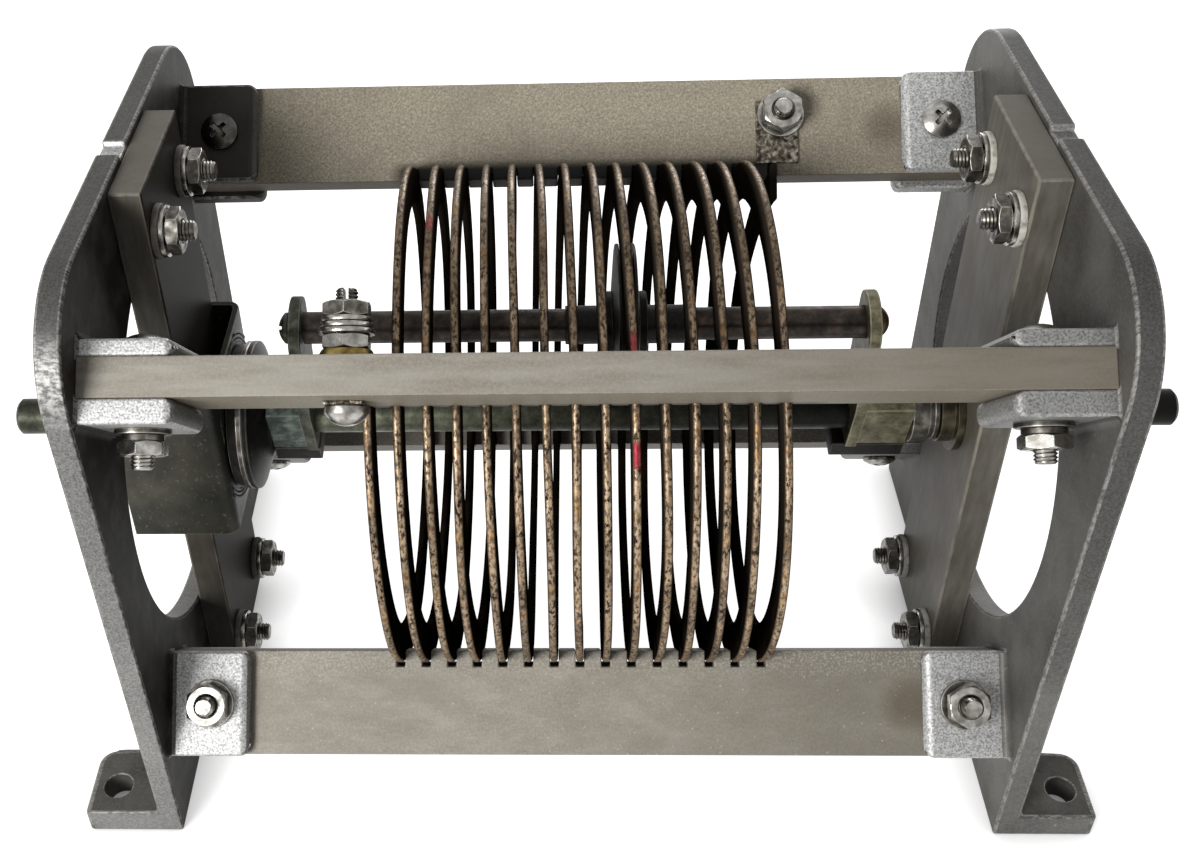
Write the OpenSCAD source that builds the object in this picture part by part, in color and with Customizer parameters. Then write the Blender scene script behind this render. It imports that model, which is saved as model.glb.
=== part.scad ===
// Roller inductor: a stationary ribbon coil on four insulating bars between two
// cast end plates, with a grooved contact wheel that a turning shaft carries
// along the inside of the coil. Millimetres, X along the shaft, Z up, feet on Z = 0.

/* [Coil] */
// Outer radius of the ribbon coil
coil_r_out = 62.6; // [50:0.1:80]
// Width of the ribbon, measured along the coil's radius
ribbon_w = 9.5; // [6:0.1:14]
// Thickness of the ribbon, measured along the shaft
ribbon_t = 1.9; // [1:0.1:3]
// Distance from one turn to the next
coil_pitch = 6.35; // [4.5:0.05:8]
// Whole turns, before the last three quarters of a turn
coil_turns = 14; // [8:1:18]
// Distance that the last quarter turn bends aside towards its terminal
tail_shift = 2.6; // [0:0.1:4]
// How far the coil sits to the right of the middle of the frame
coil_offset = 0.3; // [-4:0.1:4]
// Flat steps in each turn
turn_steps = 48; // [32:4:72]

/* [End plates] */
// Distance between the inner faces of the two end plates
inner_span = 204; // [190:1:230]
// Thickness of an end plate
plate_t = 5.5; // [4:0.1:8]
// Plate left outside the lugs at the front and back edges
edge_side = 1.7; // [1:0.1:8]
// Plate left above the lugs
edge_top = 13.4; // [8:0.1:20]
// Plate left below the lugs, down to the feet
edge_base = 15.8; // [10:0.1:24]
// Radius of the two upper corners
corner_r = 24; // [10:0.5:30]
// Width of the rails at the front and back of the round window
rail_w = 17; // [12:0.5:24]
// Width of the shallow nick in the middle of the top edge
nick_w = 5.5; // [2:0.1:10]
// Depth of that nick
nick_d = 1.3; // [0.4:0.1:1.5]
// How far the middle of the nick is from the shaft's plane
nick_y = -1.6; // [-5:0.1:5]

/* [Feet] */
// How far a foot reaches out from its plate
foot_reach = 18.9; // [16:0.1:26]
// Length of a foot along the plate
foot_len = 19.8; // [16:0.1:30]
// Thickness of a foot
foot_t = 7.5; // [4:0.1:12]
// Radius of the foot's rounded inner corner
foot_corner_r = 4.5; // [2:0.1:9]
// Radius of the hole in each foot
foot_hole_r = 3.6; // [2.5:0.05:4.5]
// Distance from the plate's outer face to the hole
foot_hole_out = 11.8; // [9:0.1:13]
// Distance from the plate's front or back edge to the hole
foot_hole_in = 8.2; // [7:0.1:11]

/* [Bars and lugs] */
// Width of a coil bar, measured along the radius
bar_w = 25.4; // [20:0.1:30]
// Thickness of a coil bar
bar_t = 8.4; // [6:0.1:12]
// Depth of the ribbon's notches in the bar's inner edge
notch_d = 3; // [2:0.1:6]
// Play of the ribbon in a notch, on each side
notch_play = 0.15; // [0.1:0.05:0.6]
// Gap between the ribbon's outer edge and the floor of an upper bar's notch
seat_gap = 0.05; // [0.02:0.01:0.2]
// Gap between the ribbon's outer edge and the floor of a lower bar's notch
low_seat_gap = 1; // [0.1:0.1:2]
// Length of a lug, from its plate inwards
lug_len = 19.9; // [16:0.1:26]
// Thickness of a lug
lug_t = 3.6; // [2.5:0.1:6]
// Thickness of the heavier lugs under the two upper bars
under_lug_t = 5.3; // [3:0.1:7]
// How far the heavier lugs reach past the bar's inner edge
under_lug_in = 1.8; // [0:0.1:3]
// Distance from the plate's inner face to a lug's bolt
lug_bolt_in = 10.4; // [8:0.1:13]

/* [Bearing strips] */
// Width of a bearing strip, front to back
strip_w = 38; // [32:0.5:44]
// Thickness of a bearing strip
strip_t = 7.6; // [5:0.1:10]
// Distance from the plate's top edge down to the strip
strip_top_gap = 1.6; // [1.5:0.1:6]
// Distance from the plate's base up to the strip
strip_base_gap = 4; // [1:0.1:8]
// Distance from the strip's side edge to its upper bolts
strip_bolt_side_top = 6; // [4:0.05:8]
// Distance from the strip's side edge to its lower bolts
strip_bolt_side_base = 4.75; // [4:0.05:8]
// Distance from the strip's top edge to its upper bolts
strip_bolt_top = 13.2; // [10:0.1:18]
// Distance from the strip's lower edge to its lower bolts
strip_bolt_base = 10.5; // [8:0.1:18]

/* [Fasteners] */
// Radius of the screws
screw_r = 2.4; // [1.8:0.05:2.6]
// Gap round a screw in its hole
screw_play = 0.15; // [0.1:0.05:0.3]
// Gap round a thread in its nut
nut_play = 0.03; // [0.02:0.01:0.06]
// Radius of a pan head
head_r = 4.7; // [4:0.1:6]
// Height of a pan head
head_h = 2.7; // [1.5:0.1:4]
// Width of a nut across its flats
nut_flats = 9.5; // [8:0.1:12]
// Height of a nut
nut_h = 3.1; // [2:0.1:4]
// Radius of a plain washer
washer_r = 5.9; // [5:0.1:7]
// Thickness of a plain washer
washer_t = 1.2; // [0.6:0.1:2]
// Radius of a spring lock washer
lock_r = 4.5; // [4:0.1:5.5]
// Thickness of a spring lock washer
lock_t = 1.3; // [0.8:0.1:2]
// Length of thread that shows past a nut
thread_end = 2.8; // [1:0.1:5]
// Width of the slots and cross recesses
slot_w = 1; // [0.6:0.1:1.4]
// Depth of the slots and cross recesses
slot_d = 1.3; // [0.6:0.1:2]
// Length of the cross recess across a pan head
recess_len = 4.8; // [3:0.1:6]
// Turn of the nuts about their screws
nut_turn = 30; // [0:5:60]
// Radius of the white fibre washers on the strips
fibre_r = 6.2; // [5.5:0.1:7.5]
// Thickness of the fibre washers
fibre_t = 1.5; // [0.6:0.1:2.5]

/* [Terminals] */
// Distance from the coil's start to the front terminal's screw, along the bar
front_term_out = 2.8; // [2.5:0.1:8]
// Distance from the coil's end to the rear terminal's screw, along the bar
rear_term_out = 2.2; // [1:0.1:6]
// Distance from the bar's outer edge to the front terminal's screw
front_term_in = 12.6; // [9:0.1:14]
// Distance from the bar's outer edge to the rear terminal's screw
rear_term_in = 9.9; // [8:0.1:14]
// Height of the front terminal's round head
round_head_h = 4.2; // [3:0.1:5]
// Thickness of the tab and the lug that hold the coil's ends
tab_t = 0.8; // [0.5:0.1:1.5]
// How far the tab and the lug reach past their screws, away from the coil
tab_past = 4.4; // [3.5:0.1:6]
// How far the tab and the lug reach past their screws, away from the shaft
tab_up = 3.8; // [3.4:0.1:6]
// How far the lug reaches from its screw towards the coil's end
lug_back = 6.2; // [4:0.1:8]
// Thickness of the brass base washer
base_washer_t = 2.4; // [1:0.1:3]
// Length of slotted stud that shows above the front terminal's nuts
front_stud_end = 2.9; // [1:0.1:5]
// Length of stud that shows above the rear terminal's nut
rear_stud_end = 2.2; // [1:0.1:5]
// Gap between loose washers that lie on each other
stack_gap = 0.05; // [0.02:0.01:0.1]

/* [Collector] */
// Thickness of the collector bracket's sheet
sheet_t = 1.6; // [0.8:0.1:2.5]
// Height of the bracket
bracket_h = 44; // [36:0.5:50]
// How far the bracket hangs below the middle of the shaft
bracket_drop = 0.8; // [0:0.1:3]
// Inner radius of the bracket's two bends
bend_r = 1.6; // [0.5:0.1:3]
// Distance from the strip to the bracket's web
bracket_reach = 5.6; // [5.5:0.1:10]
// Length of the bracket's legs past the plate's outer face
leg_past = 6.4; // [0:0.1:12]
// Running gap between the web and the disc beside it
web_gap = 0.4; // [0.3:0.05:1]
// Radius of the dished saucer and the bright disc next to it
saucer_r = 19; // [14:0.5:20]
// Radius of the dark contact ring beside the web
ring_r = 18.2; // [12:0.1:19]
// Radius of the saucer's small end
saucer_neck_r = 9.5; // [8.5:0.1:12]
// Depth of the saucer along the shaft
saucer_depth = 4.5; // [3:0.1:6]
// Thickness of the contact ring
ring_t = 2.5; // [0.8:0.1:3]
// Thickness of the bright disc
disc_t = 1.3; // [0.8:0.1:2]
// Wall of the saucer
saucer_wall = 1.4; // [0.8:0.1:2]

/* [Shaft and bearings] */
// Radius of the shaft
shaft_r = 4.76; // [4:0.01:5.5]
// Radius of the shaft's two ends, eased to slide into a knob or coupler
shaft_end_r = 4.6; // [3.9:0.01:5.4]
// Length of shaft past the left plate
left_overhang = 36.7; // [20:0.1:60]
// Length of shaft past the right plate
right_overhang = 40.4; // [20:0.1:60]
// Running gap on a radius
running_gap = 0.05; // [0.02:0.01:0.08]
// Gap on a radius where a piece is clamped on a shaft or rod
clamp_gap = 0.02; // [0.01:0.01:0.03]
// Radius of a bush where it sits in its strip
bush_r = 7; // [6:0.1:8.5]
// Radius of a bush's flange
bush_flange_r = 10.4; // [9.5:0.1:12]
// Thickness of a bush's flange
bush_flange_t = 1.9; // [1:0.1:2.2]
// Radius of the bush's boss, on the rotor's side
boss_r = 8.2; // [7:0.1:9]
// Length of the boss past the flange
boss_len = 3.4; // [2:0.1:3.6]

/* [Rotor] */
// Angle of the contact rod round the shaft, from the back, at rest
rod_angle = 107; // [90:1:130]
// Distance from the shaft to the contact rod
rod_orbit = 37; // [33:0.1:39]
// Radius of the contact rod
rod_r = 3.8; // [3:0.05:4.5]
// How far an arm leans in towards the coil, between the shaft and the rod
arm_lean = 1.6; // [0:0.1:3]
// Thickness of an arm
arm_t = 2.9; // [2:0.1:4]
// Half the width of an arm, and the radius of its round end
arm_half_w = 7.5; // [6.5:0.1:9]
// Length of the left hub block along the shaft
block_left_len = 8.8; // [8:0.1:9.5]
// Length of the right hub block along the shaft
block_right_len = 12.3; // [10:0.1:13]
// Half the depth of a hub block
block_half_w = 6.5; // [6:0.1:8]
// Height of a hub block above the shaft's middle
block_top = 9; // [7:0.1:12]
// Depth of a hub block below the shaft's middle
block_base = 5.9; // [5.6:0.1:7]
// Gap between a hub block and its clamp bar
pinch_gap = 0.2; // [0.1:0.05:0.5]
// Thickness of a clamp bar
clamp_t = 5.4; // [3:0.1:7]
// How far the left clamp bar reaches past its arm, towards the coil
clamp_in_left = 0.3; // [0:0.1:4]
// How far the right clamp bar reaches past its arm, towards the coil
clamp_in_right = 3.2; // [0:0.1:4]
// Distance from an arm's outer face to its clamp screw
clamp_screw_out = 3.9; // [3.8:0.1:4.8]
// Radius of the clamp screws and the rod's screw
small_screw_r = 1.9; // [1.4:0.05:2.2]
// Radius of the clamp screws' heads and the rod screw's head
small_head_r = 3.7; // [3:0.1:4.5]
// Height of those heads
small_head_h = 2.7; // [1.5:0.1:3.5]
// How far the rod's round end stands out of the right arm
rod_end_h = 2.5; // [2:0.1:4]
// Length of the rod's screw inside the rod
rod_screw_len = 9; // [5:0.5:15]
// Length of the thrust collar on the right
collar_len = 4.2; // [3:0.1:5]
// Radius of the thrust collar
collar_r = 8.2; // [7:0.1:9]
// Thickness of each of the two thrust washers
thrust_t = 1.2; // [0.6:0.05:1.5]
// Radius of the thrust washers
thrust_r = 7.6; // [6.5:0.1:8.5]
// Play of the turning assembly along the shaft, at the right bush
end_play = 0.3; // [0.1:0.05:0.6]

/* [Contact wheel] */
// Turn of the coil that the wheel is on at rest, counted from the left
contact_turn = 8; // [2:1:12]
// Gap between the wheel's groove and the ribbon's inner edge
wheel_gap = 0.3; // [0.2:0.05:0.5]
// Gap between the ribbon and each flange
flange_play = 0.55; // [0.45:0.05:0.8]
// Height of the flanges above the groove
flange_d = 3; // [1.5:0.1:3.5]
// Thickness of a flange at its rim
flange_rim_t = 0.7; // [0.5:0.1:1.2]
// Thickness of a flange at the hub
flange_root_t = 1.6; // [1:0.1:2]
// Radius of the wheel's hub
hub_r = 7.8; // [6:0.1:10]
// Length of the wheel's hub
hub_len = 9.8; // [7:0.1:12]
// Outer radius of the sliding sleeve
sleeve_r = 4.5; // [4.3:0.05:5.5]
// Length of the sliding sleeve
sleeve_len = 27.6; // [20:0.1:32]

/* [Hidden] */
$fn = 64;
// Room for cuts that pass right through
cut = 1;

coil_r_in = coil_r_out - ribbon_w;
bar_r_in = coil_r_out - notch_d;
bar_r_out = bar_r_in + bar_w;
bar_r_mid = (bar_r_in + bar_r_out) / 2;
notch_w = ribbon_t + 2 * notch_play;

// The coil starts at the upper front bar and winds down the front
start_angle = 135;
coil_length = coil_pitch * (coil_turns + 0.75);
coil_start = coil_offset - coil_length / 2;
sweep = 360 * coil_turns + 270;
tail_overrun = asin((bar_t / 2 + tab_t) / bar_r_in);
tail_sweep = 80;

// Corner angles of the bars, measured from the back, and their place in a turn
back_up = 45;
front_up = 135;
front_down = 225;
back_down = 315;

lug_reach = (bar_r_out + bar_t / 2 + lug_t) * cos(45);
half_depth = (bar_r_out + bar_t / 2 + under_lug_t) * cos(45) + edge_side;
plate_up = lug_reach + edge_top;
plate_down = lug_reach + edge_base;
window_r = half_depth - rail_w;
half_span = inner_span / 2;
plate_out = half_span + plate_t;
shaft_z = plate_down;
shaft_left = -plate_out - left_overhang;
shaft_right = plate_out + right_overhang;
frame_mid = -(shaft_left + shaft_right) / 2;

hole_r = screw_r + screw_play;
lug_face = bar_t / 2 + lug_t;
lug_bolt_x = half_span - lug_bolt_in;
// Each corner: its angle, the side of the screw's head, and the lug on the nut's side
corners = [
    [back_up, 1, under_lug_t, under_lug_in],
    [front_up, -1, under_lug_t, under_lug_in],
    [front_down, 1, lug_t, 0],
    [back_down, -1, lug_t, 0]
];

strip_face = half_span - strip_t;
strip_up = plate_up - strip_top_gap;
strip_down = plate_down - strip_base_gap;
strip_bolt_y = strip_w / 2 - strip_bolt_side_top;
strip_bolt_y_base = strip_w / 2 - strip_bolt_side_base;
strip_bolts = [
    [-strip_bolt_y, strip_up - strip_bolt_top],
    [strip_bolt_y, strip_up - strip_bolt_top],
    [-strip_bolt_y_base, strip_bolt_base - strip_down],
    [strip_bolt_y_base, strip_bolt_base - strip_down]
];

front_term_x = coil_start - front_term_out;
coil_end = coil_start + coil_length + tail_shift;
rear_term_x = coil_end + rear_term_out;
front_term_r = bar_r_out - front_term_in;
rear_term_r = bar_r_out - rear_term_in;
tab_r_in = coil_r_out + seat_gap;
front_face = bar_t / 2;
rear_face = bar_t / 2 + tab_t;
front_nut_1 = front_face + base_washer_t;
front_stack = front_nut_1 + nut_h;
front_nut_2 = front_stack + 3 * washer_t + 2 * stack_gap;
front_stud = front_nut_2 + nut_h + front_stud_end;
rear_nut_base = rear_face + washer_t + lock_t;
rear_stud = rear_nut_base + nut_h + rear_stud_end;

web_face = strip_face - bracket_reach - sheet_t;
leg_in = strip_w / 2;
disc_1 = web_face - web_gap;
disc_2 = disc_1 - ring_t;
saucer_base = disc_2 - disc_t;
saucer_neck = saucer_base - saucer_depth;
arm_left_out = saucer_neck - block_left_len;
arm_left_in = arm_left_out - arm_t;
boss_face = strip_face - bush_flange_t - boss_len;
collar_face = boss_face - end_play - 2 * thrust_t - stack_gap - collar_len;
arm_right_out = collar_face - block_right_len;
arm_right_in = arm_right_out - arm_t;
arm_slope = arm_lean / (rod_orbit - block_top);
rod_left = arm_left_in - arm_lean - arm_slope * rod_r;
rod_right = arm_right_out - arm_lean + arm_slope * rod_r;
rod_head = arm_left_out - arm_lean + arm_slope * small_head_r;

wheel_x = coil_start + coil_pitch * ((rod_angle + 360 - start_angle) / 360 + contact_turn);
groove_r = coil_r_in - rod_orbit - wheel_gap;
flange_r = groove_r + flange_d;
groove_half = ribbon_t / 2 + flange_play;
sleeve_bore = rod_r + running_gap;

clamp_top = block_base + pinch_gap;
clamp_base = clamp_top + clamp_t;

// Middle of the ribbon along the shaft, at an angle wound on from the start
function tail_part(turned) = max(0, min(1, (turned - sweep + tail_sweep) / tail_sweep));
function tail_bend(turned) = tail_shift * tail_part(turned) * tail_part(turned) * (3 - 2 * tail_part(turned));
function ribbon_x(turned) = coil_start + coil_pitch * turned / 360 + tail_bend(turned);

// Places its children with the shaft's middle at the origin
module in_frame() {
    translate([frame_mid, 0, shaft_z]) children();
}

// Places its children in a bar's plane: Y runs outwards, Z across the bar
module in_corner(angle) {
    in_frame() rotate([angle, 0, 0]) children();
}

// Places its children on the rotor: Y runs from the shaft to the contact rod
module on_rotor() {
    in_corner(rod_angle) children();
}

module along_x(x, length, radius) {
    translate([x, 0, 0]) rotate([0, 90, 0]) cylinder(r = radius, h = length);
}

module tube_x(x, length, outer, bore) {
    difference() {
        along_x(x, length, outer);
        along_x(x - cut, length + 2 * cut, bore);
    }
}

module washer(outer, bore, thickness) {
    difference() {
        cylinder(r = outer, h = thickness);
        translate([0, 0, -cut]) cylinder(r = bore, h = thickness + 2 * cut);
    }
}

// Prism with six flat sides, cut from a block so that every flat stays plane
module nut() {
    corner = nut_flats / 2 / cos(30);
    difference() {
        linear_extrude(nut_h)
            polygon([for (i = [0:5]) corner * [cos(60 * i + nut_turn), sin(60 * i + nut_turn)]]);
        translate([0, 0, -cut]) cylinder(r = screw_r + nut_play, h = nut_h + 2 * cut);
    }
}

// Low dome on a straight rim, with its flat side on Z = 0
module pan_head(radius, height) {
    ball_r = (radius * radius + height * height * 0.36) / (height * 1.2);
    cylinder(r = radius, h = height * 0.4);
    intersection() {
        cylinder(r = radius, h = height);
        translate([0, 0, height - ball_r]) sphere(r = ball_r);
    }
}

// Screw with its head below Z = 0 and its thread running up
module screw(length) {
    difference() {
        mirror([0, 0, 1]) pan_head(head_r, head_h);
        for (turn = [45, 135])
            rotate([0, 0, turn]) translate([-recess_len / 2, -slot_w / 2, -head_h - cut])
                cube([recess_len, slot_w, slot_d + cut]);
    }
    cylinder(r = screw_r, h = length);
}

// End plates, each one casting with its feet and its four pairs of lugs
module foot() {
    difference() {
        union() {
            cube([foot_reach - foot_corner_r, foot_len, foot_t]);
            cube([foot_reach, foot_len - foot_corner_r, foot_t]);
            translate([foot_reach - foot_corner_r, foot_len - foot_corner_r, 0])
                cylinder(r = foot_corner_r, h = foot_t);
        }
        translate([foot_hole_out, foot_hole_in, -cut]) cylinder(r = foot_hole_r, h = foot_t + 2 * cut);
    }
}

module lug_pair(nut_lug_t, nut_lug_in) {
    lug_x = half_span - lug_len;
    difference() {
        union() {
            translate([lug_x, bar_r_in, -lug_face]) cube([lug_len, bar_w, lug_t]);
            translate([lug_x, bar_r_in - nut_lug_in, bar_t / 2])
                cube([lug_len, bar_w + nut_lug_in, nut_lug_t]);
        }
        translate([lug_bolt_x, bar_r_mid, -lug_face - cut])
            cylinder(r = hole_r, h = lug_face + bar_t / 2 + nut_lug_t + 2 * cut);
    }
}

module right_plate() {
    in_frame() {
        difference() {
            union() {
                translate([half_span, -half_depth, -plate_down])
                    cube([plate_t, 2 * half_depth, plate_down + plate_up - corner_r]);
                translate([half_span, corner_r - half_depth, -plate_down])
                    cube([plate_t, 2 * (half_depth - corner_r), plate_down + plate_up]);
                for (side = [-1, 1])
                    translate([0, side * (half_depth - corner_r), plate_up - corner_r])
                        along_x(half_span, plate_t, corner_r);
            }
            along_x(half_span - cut, plate_t + 2 * cut, window_r);
            translate([half_span - cut, nick_y - nick_w / 2, plate_up - nick_d])
                cube([plate_t + 2 * cut, nick_w, nick_d + cut]);
            for (bolt = strip_bolts)
                translate([0, bolt[0], bolt[1]]) along_x(half_span - cut, plate_t + 2 * cut, hole_r);
        }
        for (corner = corners)
            rotate([corner[0], 0, 0]) mirror([0, 0, corner[1] > 0 ? 1 : 0]) lug_pair(corner[2], corner[3]);
        for (side = [0, 1])
            mirror([0, side, 0]) translate([plate_out, -half_depth, -plate_down]) foot();
    }
}

// Turns a right-hand piece of the frame into the left-hand one
module left_hand() {
    translate([2 * frame_mid, 0, 0]) mirror([1, 0, 0]) children();
}

module end_plate_left() {
    color("#8d8c87") left_hand() right_plate();
}

module end_plate_right() {
    color("#8d8c87") right_plate();
}

// Coil bars, notched on their inner edges for the ribbon
module coil_bar(angle, floor_gap, extra = []) {
    turned = angle < start_angle ? angle + 360 - start_angle : angle - start_angle;
    in_corner(angle) difference() {
        translate([-half_span, bar_r_in, -bar_t / 2]) cube([inner_span, bar_w, bar_t]);
        for (turn = [0:coil_turns])
            translate([ribbon_x(turned + 360 * turn) - notch_w / 2, bar_r_in - cut, -bar_t / 2 - cut])
                cube([notch_w, notch_d + floor_gap + cut, bar_t + 2 * cut]);
        for (hole = concat([[-lug_bolt_x, bar_r_mid], [lug_bolt_x, bar_r_mid]], extra))
            translate([hole[0], hole[1], -bar_t / 2 - cut]) cylinder(r = hole_r, h = bar_t + 2 * cut);
    }
}

module bar_upper_front() {
    color("#a49d92") coil_bar(front_up, seat_gap, [[front_term_x, front_term_r]]);
}

module bar_upper_back() {
    color("#a49d92") coil_bar(back_up, seat_gap, [[rear_term_x, rear_term_r]]);
}

module bar_lower_front() {
    color("#a49d92") coil_bar(front_down, low_seat_gap);
}

module bar_lower_back() {
    color("#a49d92") coil_bar(back_down, low_seat_gap);
}

// Bearing strips across the plates' windows, with a flanged bush in each
module bearing_strip(side) {
    in_frame() mirror([side < 0 ? 1 : 0, 0, 0]) difference() {
        translate([strip_face, -strip_w / 2, -strip_down]) cube([strip_t, strip_w, strip_down + strip_up]);
        along_x(strip_face - cut, strip_t + 2 * cut, bush_r);
        for (bolt = strip_bolts)
            translate([0, bolt[0], bolt[1]]) along_x(strip_face - cut, strip_t + 2 * cut, hole_r);
    }
}

module bearing_strip_left() {
    color("#8a8278") bearing_strip(-1);
}

module bearing_strip_right() {
    color("#8a8278") bearing_strip(1);
}

module bush(side) {
    flange_x = strip_face - bush_flange_t;
    in_frame() mirror([side < 0 ? 1 : 0, 0, 0]) difference() {
        union() {
            along_x(strip_face, strip_t, bush_r);
            along_x(flange_x, bush_flange_t, bush_flange_r);
            along_x(flange_x - boss_len, boss_len, boss_r);
        }
        along_x(flange_x - boss_len - cut, strip_t + boss_len + bush_flange_t + 2 * cut, shaft_r + running_gap);
    }
}

module bush_left() {
    color("#6f6b45") bush(-1);
}

module bush_right() {
    color("#6f6b45") bush(1);
}

// Ribbon coil: a flat ribbon swept edgewise round the bars, from the upper front
// bar to the front face of the upper back bar
module coil() {
    end = sweep + tail_overrun;
    count = ceil(end * turn_steps / 360);
    ring = function (turned) let (
            angle = start_angle + turned,
            x = ribbon_x(turned),
            inward = coil_r_in * [cos(angle), sin(angle)],
            outward = coil_r_out * [cos(angle), sin(angle)]
        ) [
            [x - ribbon_t / 2, inward[0], inward[1]],
            [x - ribbon_t / 2, outward[0], outward[1]],
            [x + ribbon_t / 2, outward[0], outward[1]],
            [x + ribbon_t / 2, inward[0], inward[1]]
        ];
    points = [for (i = [0:count], point = ring(end * i / count)) point];
    sides = [
        for (i = [0:count - 1], k = [0:3])
            let (a = 4 * i + k, b = 4 * i + (k + 1) % 4)
                each [[a, b, b + 4], [a, b + 4, a + 4]]
    ];
    last = 4 * count;
    ends = [[3, 2, 1], [3, 1, 0], [last, last + 1, last + 2], [last, last + 2, last + 3]];
    color("#8a6f55") in_frame() polyhedron(points = points, faces = concat(sides, ends), convexity = 20);
}

// Front terminal: tab under a round head below the bar, two nuts and washers above
module on_front_terminal() {
    in_corner(front_up) translate([front_term_x, front_term_r, 0]) children();
}

module front_tab() {
    tab_in = front_term_r - tab_r_in;
    color("#7c6a4e") on_front_terminal() difference() {
        translate([-tab_past, -tab_in, front_face])
            cube([tab_past + front_term_out + ribbon_t / 2, tab_in + tab_up, tab_t]);
        translate([0, 0, front_face - cut]) cylinder(r = hole_r, h = tab_t + 2 * cut);
    }
}

module front_screw() {
    color("#c9c8c4") on_front_terminal() difference() {
        union() {
            translate([0, 0, rear_face]) pan_head(head_r, round_head_h);
            translate([0, 0, -front_stud]) cylinder(r = screw_r, h = front_stud + rear_face);
        }
        translate([-screw_r - cut, -slot_w / 2, -front_stud - cut])
            cube([2 * (screw_r + cut), slot_w, slot_d + cut]);
    }
}

module front_base_washer() {
    color("#a58b4f") on_front_terminal() translate([0, 0, -front_nut_1]) washer(washer_r, hole_r, base_washer_t);
}

module front_lower_nut() {
    color("#d6d5d1") on_front_terminal() translate([0, 0, -front_stack]) nut();
}

module front_washers() {
    color("#d6d5d1") on_front_terminal() for (i = [0:2])
        translate([0, 0, -front_stack - (i + 1) * washer_t - i * stack_gap])
            washer(washer_r - 0.25 * i, hole_r, washer_t);
}

module front_upper_nut() {
    color("#b8b6b0") on_front_terminal() translate([0, 0, -front_nut_2 - nut_h]) nut();
}

// Rear terminal: lug on the bar's upper face, washers and a nut
module on_rear_terminal() {
    in_corner(back_up) translate([rear_term_x, rear_term_r, 0]) children();
}

module rear_screw() {
    color("#b8b6b0") on_rear_terminal() {
        translate([0, 0, -front_face]) mirror([0, 0, 1]) pan_head(head_r, head_h);
        translate([0, 0, -front_face]) cylinder(r = screw_r, h = front_face + rear_stud);
    }
}

module rear_lug() {
    lug_in = rear_term_r - tab_r_in;
    color("#8d8577") on_rear_terminal() difference() {
        translate([-lug_back, -lug_in, front_face]) cube([lug_back + tab_past, lug_in + tab_up, tab_t]);
        translate([0, 0, front_face - cut]) cylinder(r = hole_r, h = tab_t + 2 * cut);
    }
}

module rear_washer() {
    color("#c2c0bb") on_rear_terminal() translate([0, 0, rear_face]) washer(washer_r, hole_r, washer_t);
}

module rear_lock_washer() {
    color("#a9a7a2") on_rear_terminal() translate([0, 0, rear_face + washer_t]) washer(lock_r, hole_r, lock_t);
}

module rear_nut() {
    color("#c2c0bb") on_rear_terminal() translate([0, 0, rear_nut_base]) nut();
}

// Collector bracket: a sheet bent round the left strip, with its web across the shaft
module bent_outline(reach, half, radius) {
    translate([radius, -half]) square([reach - radius, 2 * half]);
    translate([0, radius - half]) square([radius, 2 * (half - radius)]);
    for (side = [-1, 1])
        translate([radius, side * (half - radius)]) circle(r = radius);
}

module collector_bracket() {
    leg_length = plate_out + leg_past - web_face;
    color("#3d3f38") in_frame() mirror([1, 0, 0]) difference() {
        translate([web_face, 0, -bracket_drop - bracket_h / 2]) linear_extrude(bracket_h) difference() {
            bent_outline(leg_length, leg_in + sheet_t, bend_r + sheet_t);
            translate([sheet_t, 0]) bent_outline(leg_length, leg_in, bend_r);
        }
        along_x(web_face - cut, sheet_t + 2 * cut, shaft_r + web_gap);
    }
}

// Turning assembly: shaft, two arms clamped to it, and the rod between them
module shaft() {
    color("#4c4a45") in_frame() {
        along_x(-plate_out, 2 * plate_out, shaft_r);
        along_x(shaft_left, left_overhang, shaft_end_r);
        along_x(plate_out, right_overhang, shaft_end_r);
    }
}

module arm(side, inner, rod_hole) {
    outer = inner + arm_t;
    top = rod_orbit + arm_half_w;
    in_by = arm_slope * (top - block_top);
    slab = [
        [inner, -block_base],
        [outer, -block_base],
        [outer, block_top],
        [outer - in_by, top],
        [inner - in_by, top],
        [inner, block_top]
    ];
    on_rotor() mirror([side < 0 ? 1 : 0, 0, 0]) difference() {
        intersection() {
            translate([0, 0, -arm_half_w]) linear_extrude(2 * arm_half_w) polygon(slab);
            union() {
                translate([inner - in_by, -block_base, -arm_half_w])
                    cube([arm_t + in_by, block_base + rod_orbit, 2 * arm_half_w]);
                translate([0, rod_orbit, 0]) along_x(inner - in_by, arm_t + in_by, arm_half_w);
            }
        }
        along_x(inner - cut, arm_t + 2 * cut, shaft_r + clamp_gap);
        translate([0, rod_orbit, 0]) along_x(inner - in_by - cut, arm_t + in_by + 2 * cut, rod_hole);
    }
}

module arm_left() {
    color("#5d5a45") arm(-1, arm_left_in, small_screw_r + screw_play);
}

module arm_right() {
    color("#5d5a45") arm(1, arm_right_in, rod_r + clamp_gap);
}

module hub_block(side, arm_out, length) {
    on_rotor() mirror([side < 0 ? 1 : 0, 0, 0]) difference() {
        translate([arm_out, -block_base, -block_half_w]) cube([length, block_base + block_top, 2 * block_half_w]);
        along_x(arm_out - cut, length + 2 * cut, shaft_r + clamp_gap);
        translate([arm_out + clamp_screw_out, 0, 0]) rotate([90, 0, 0])
            cylinder(r = small_screw_r + screw_play, h = block_base + cut);
    }
}

module hub_block_left() {
    color("#5f7166") hub_block(-1, arm_left_out, block_left_len);
}

module hub_block_right() {
    color("#7d7a5c") hub_block(1, arm_right_out, block_right_len);
}

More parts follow.
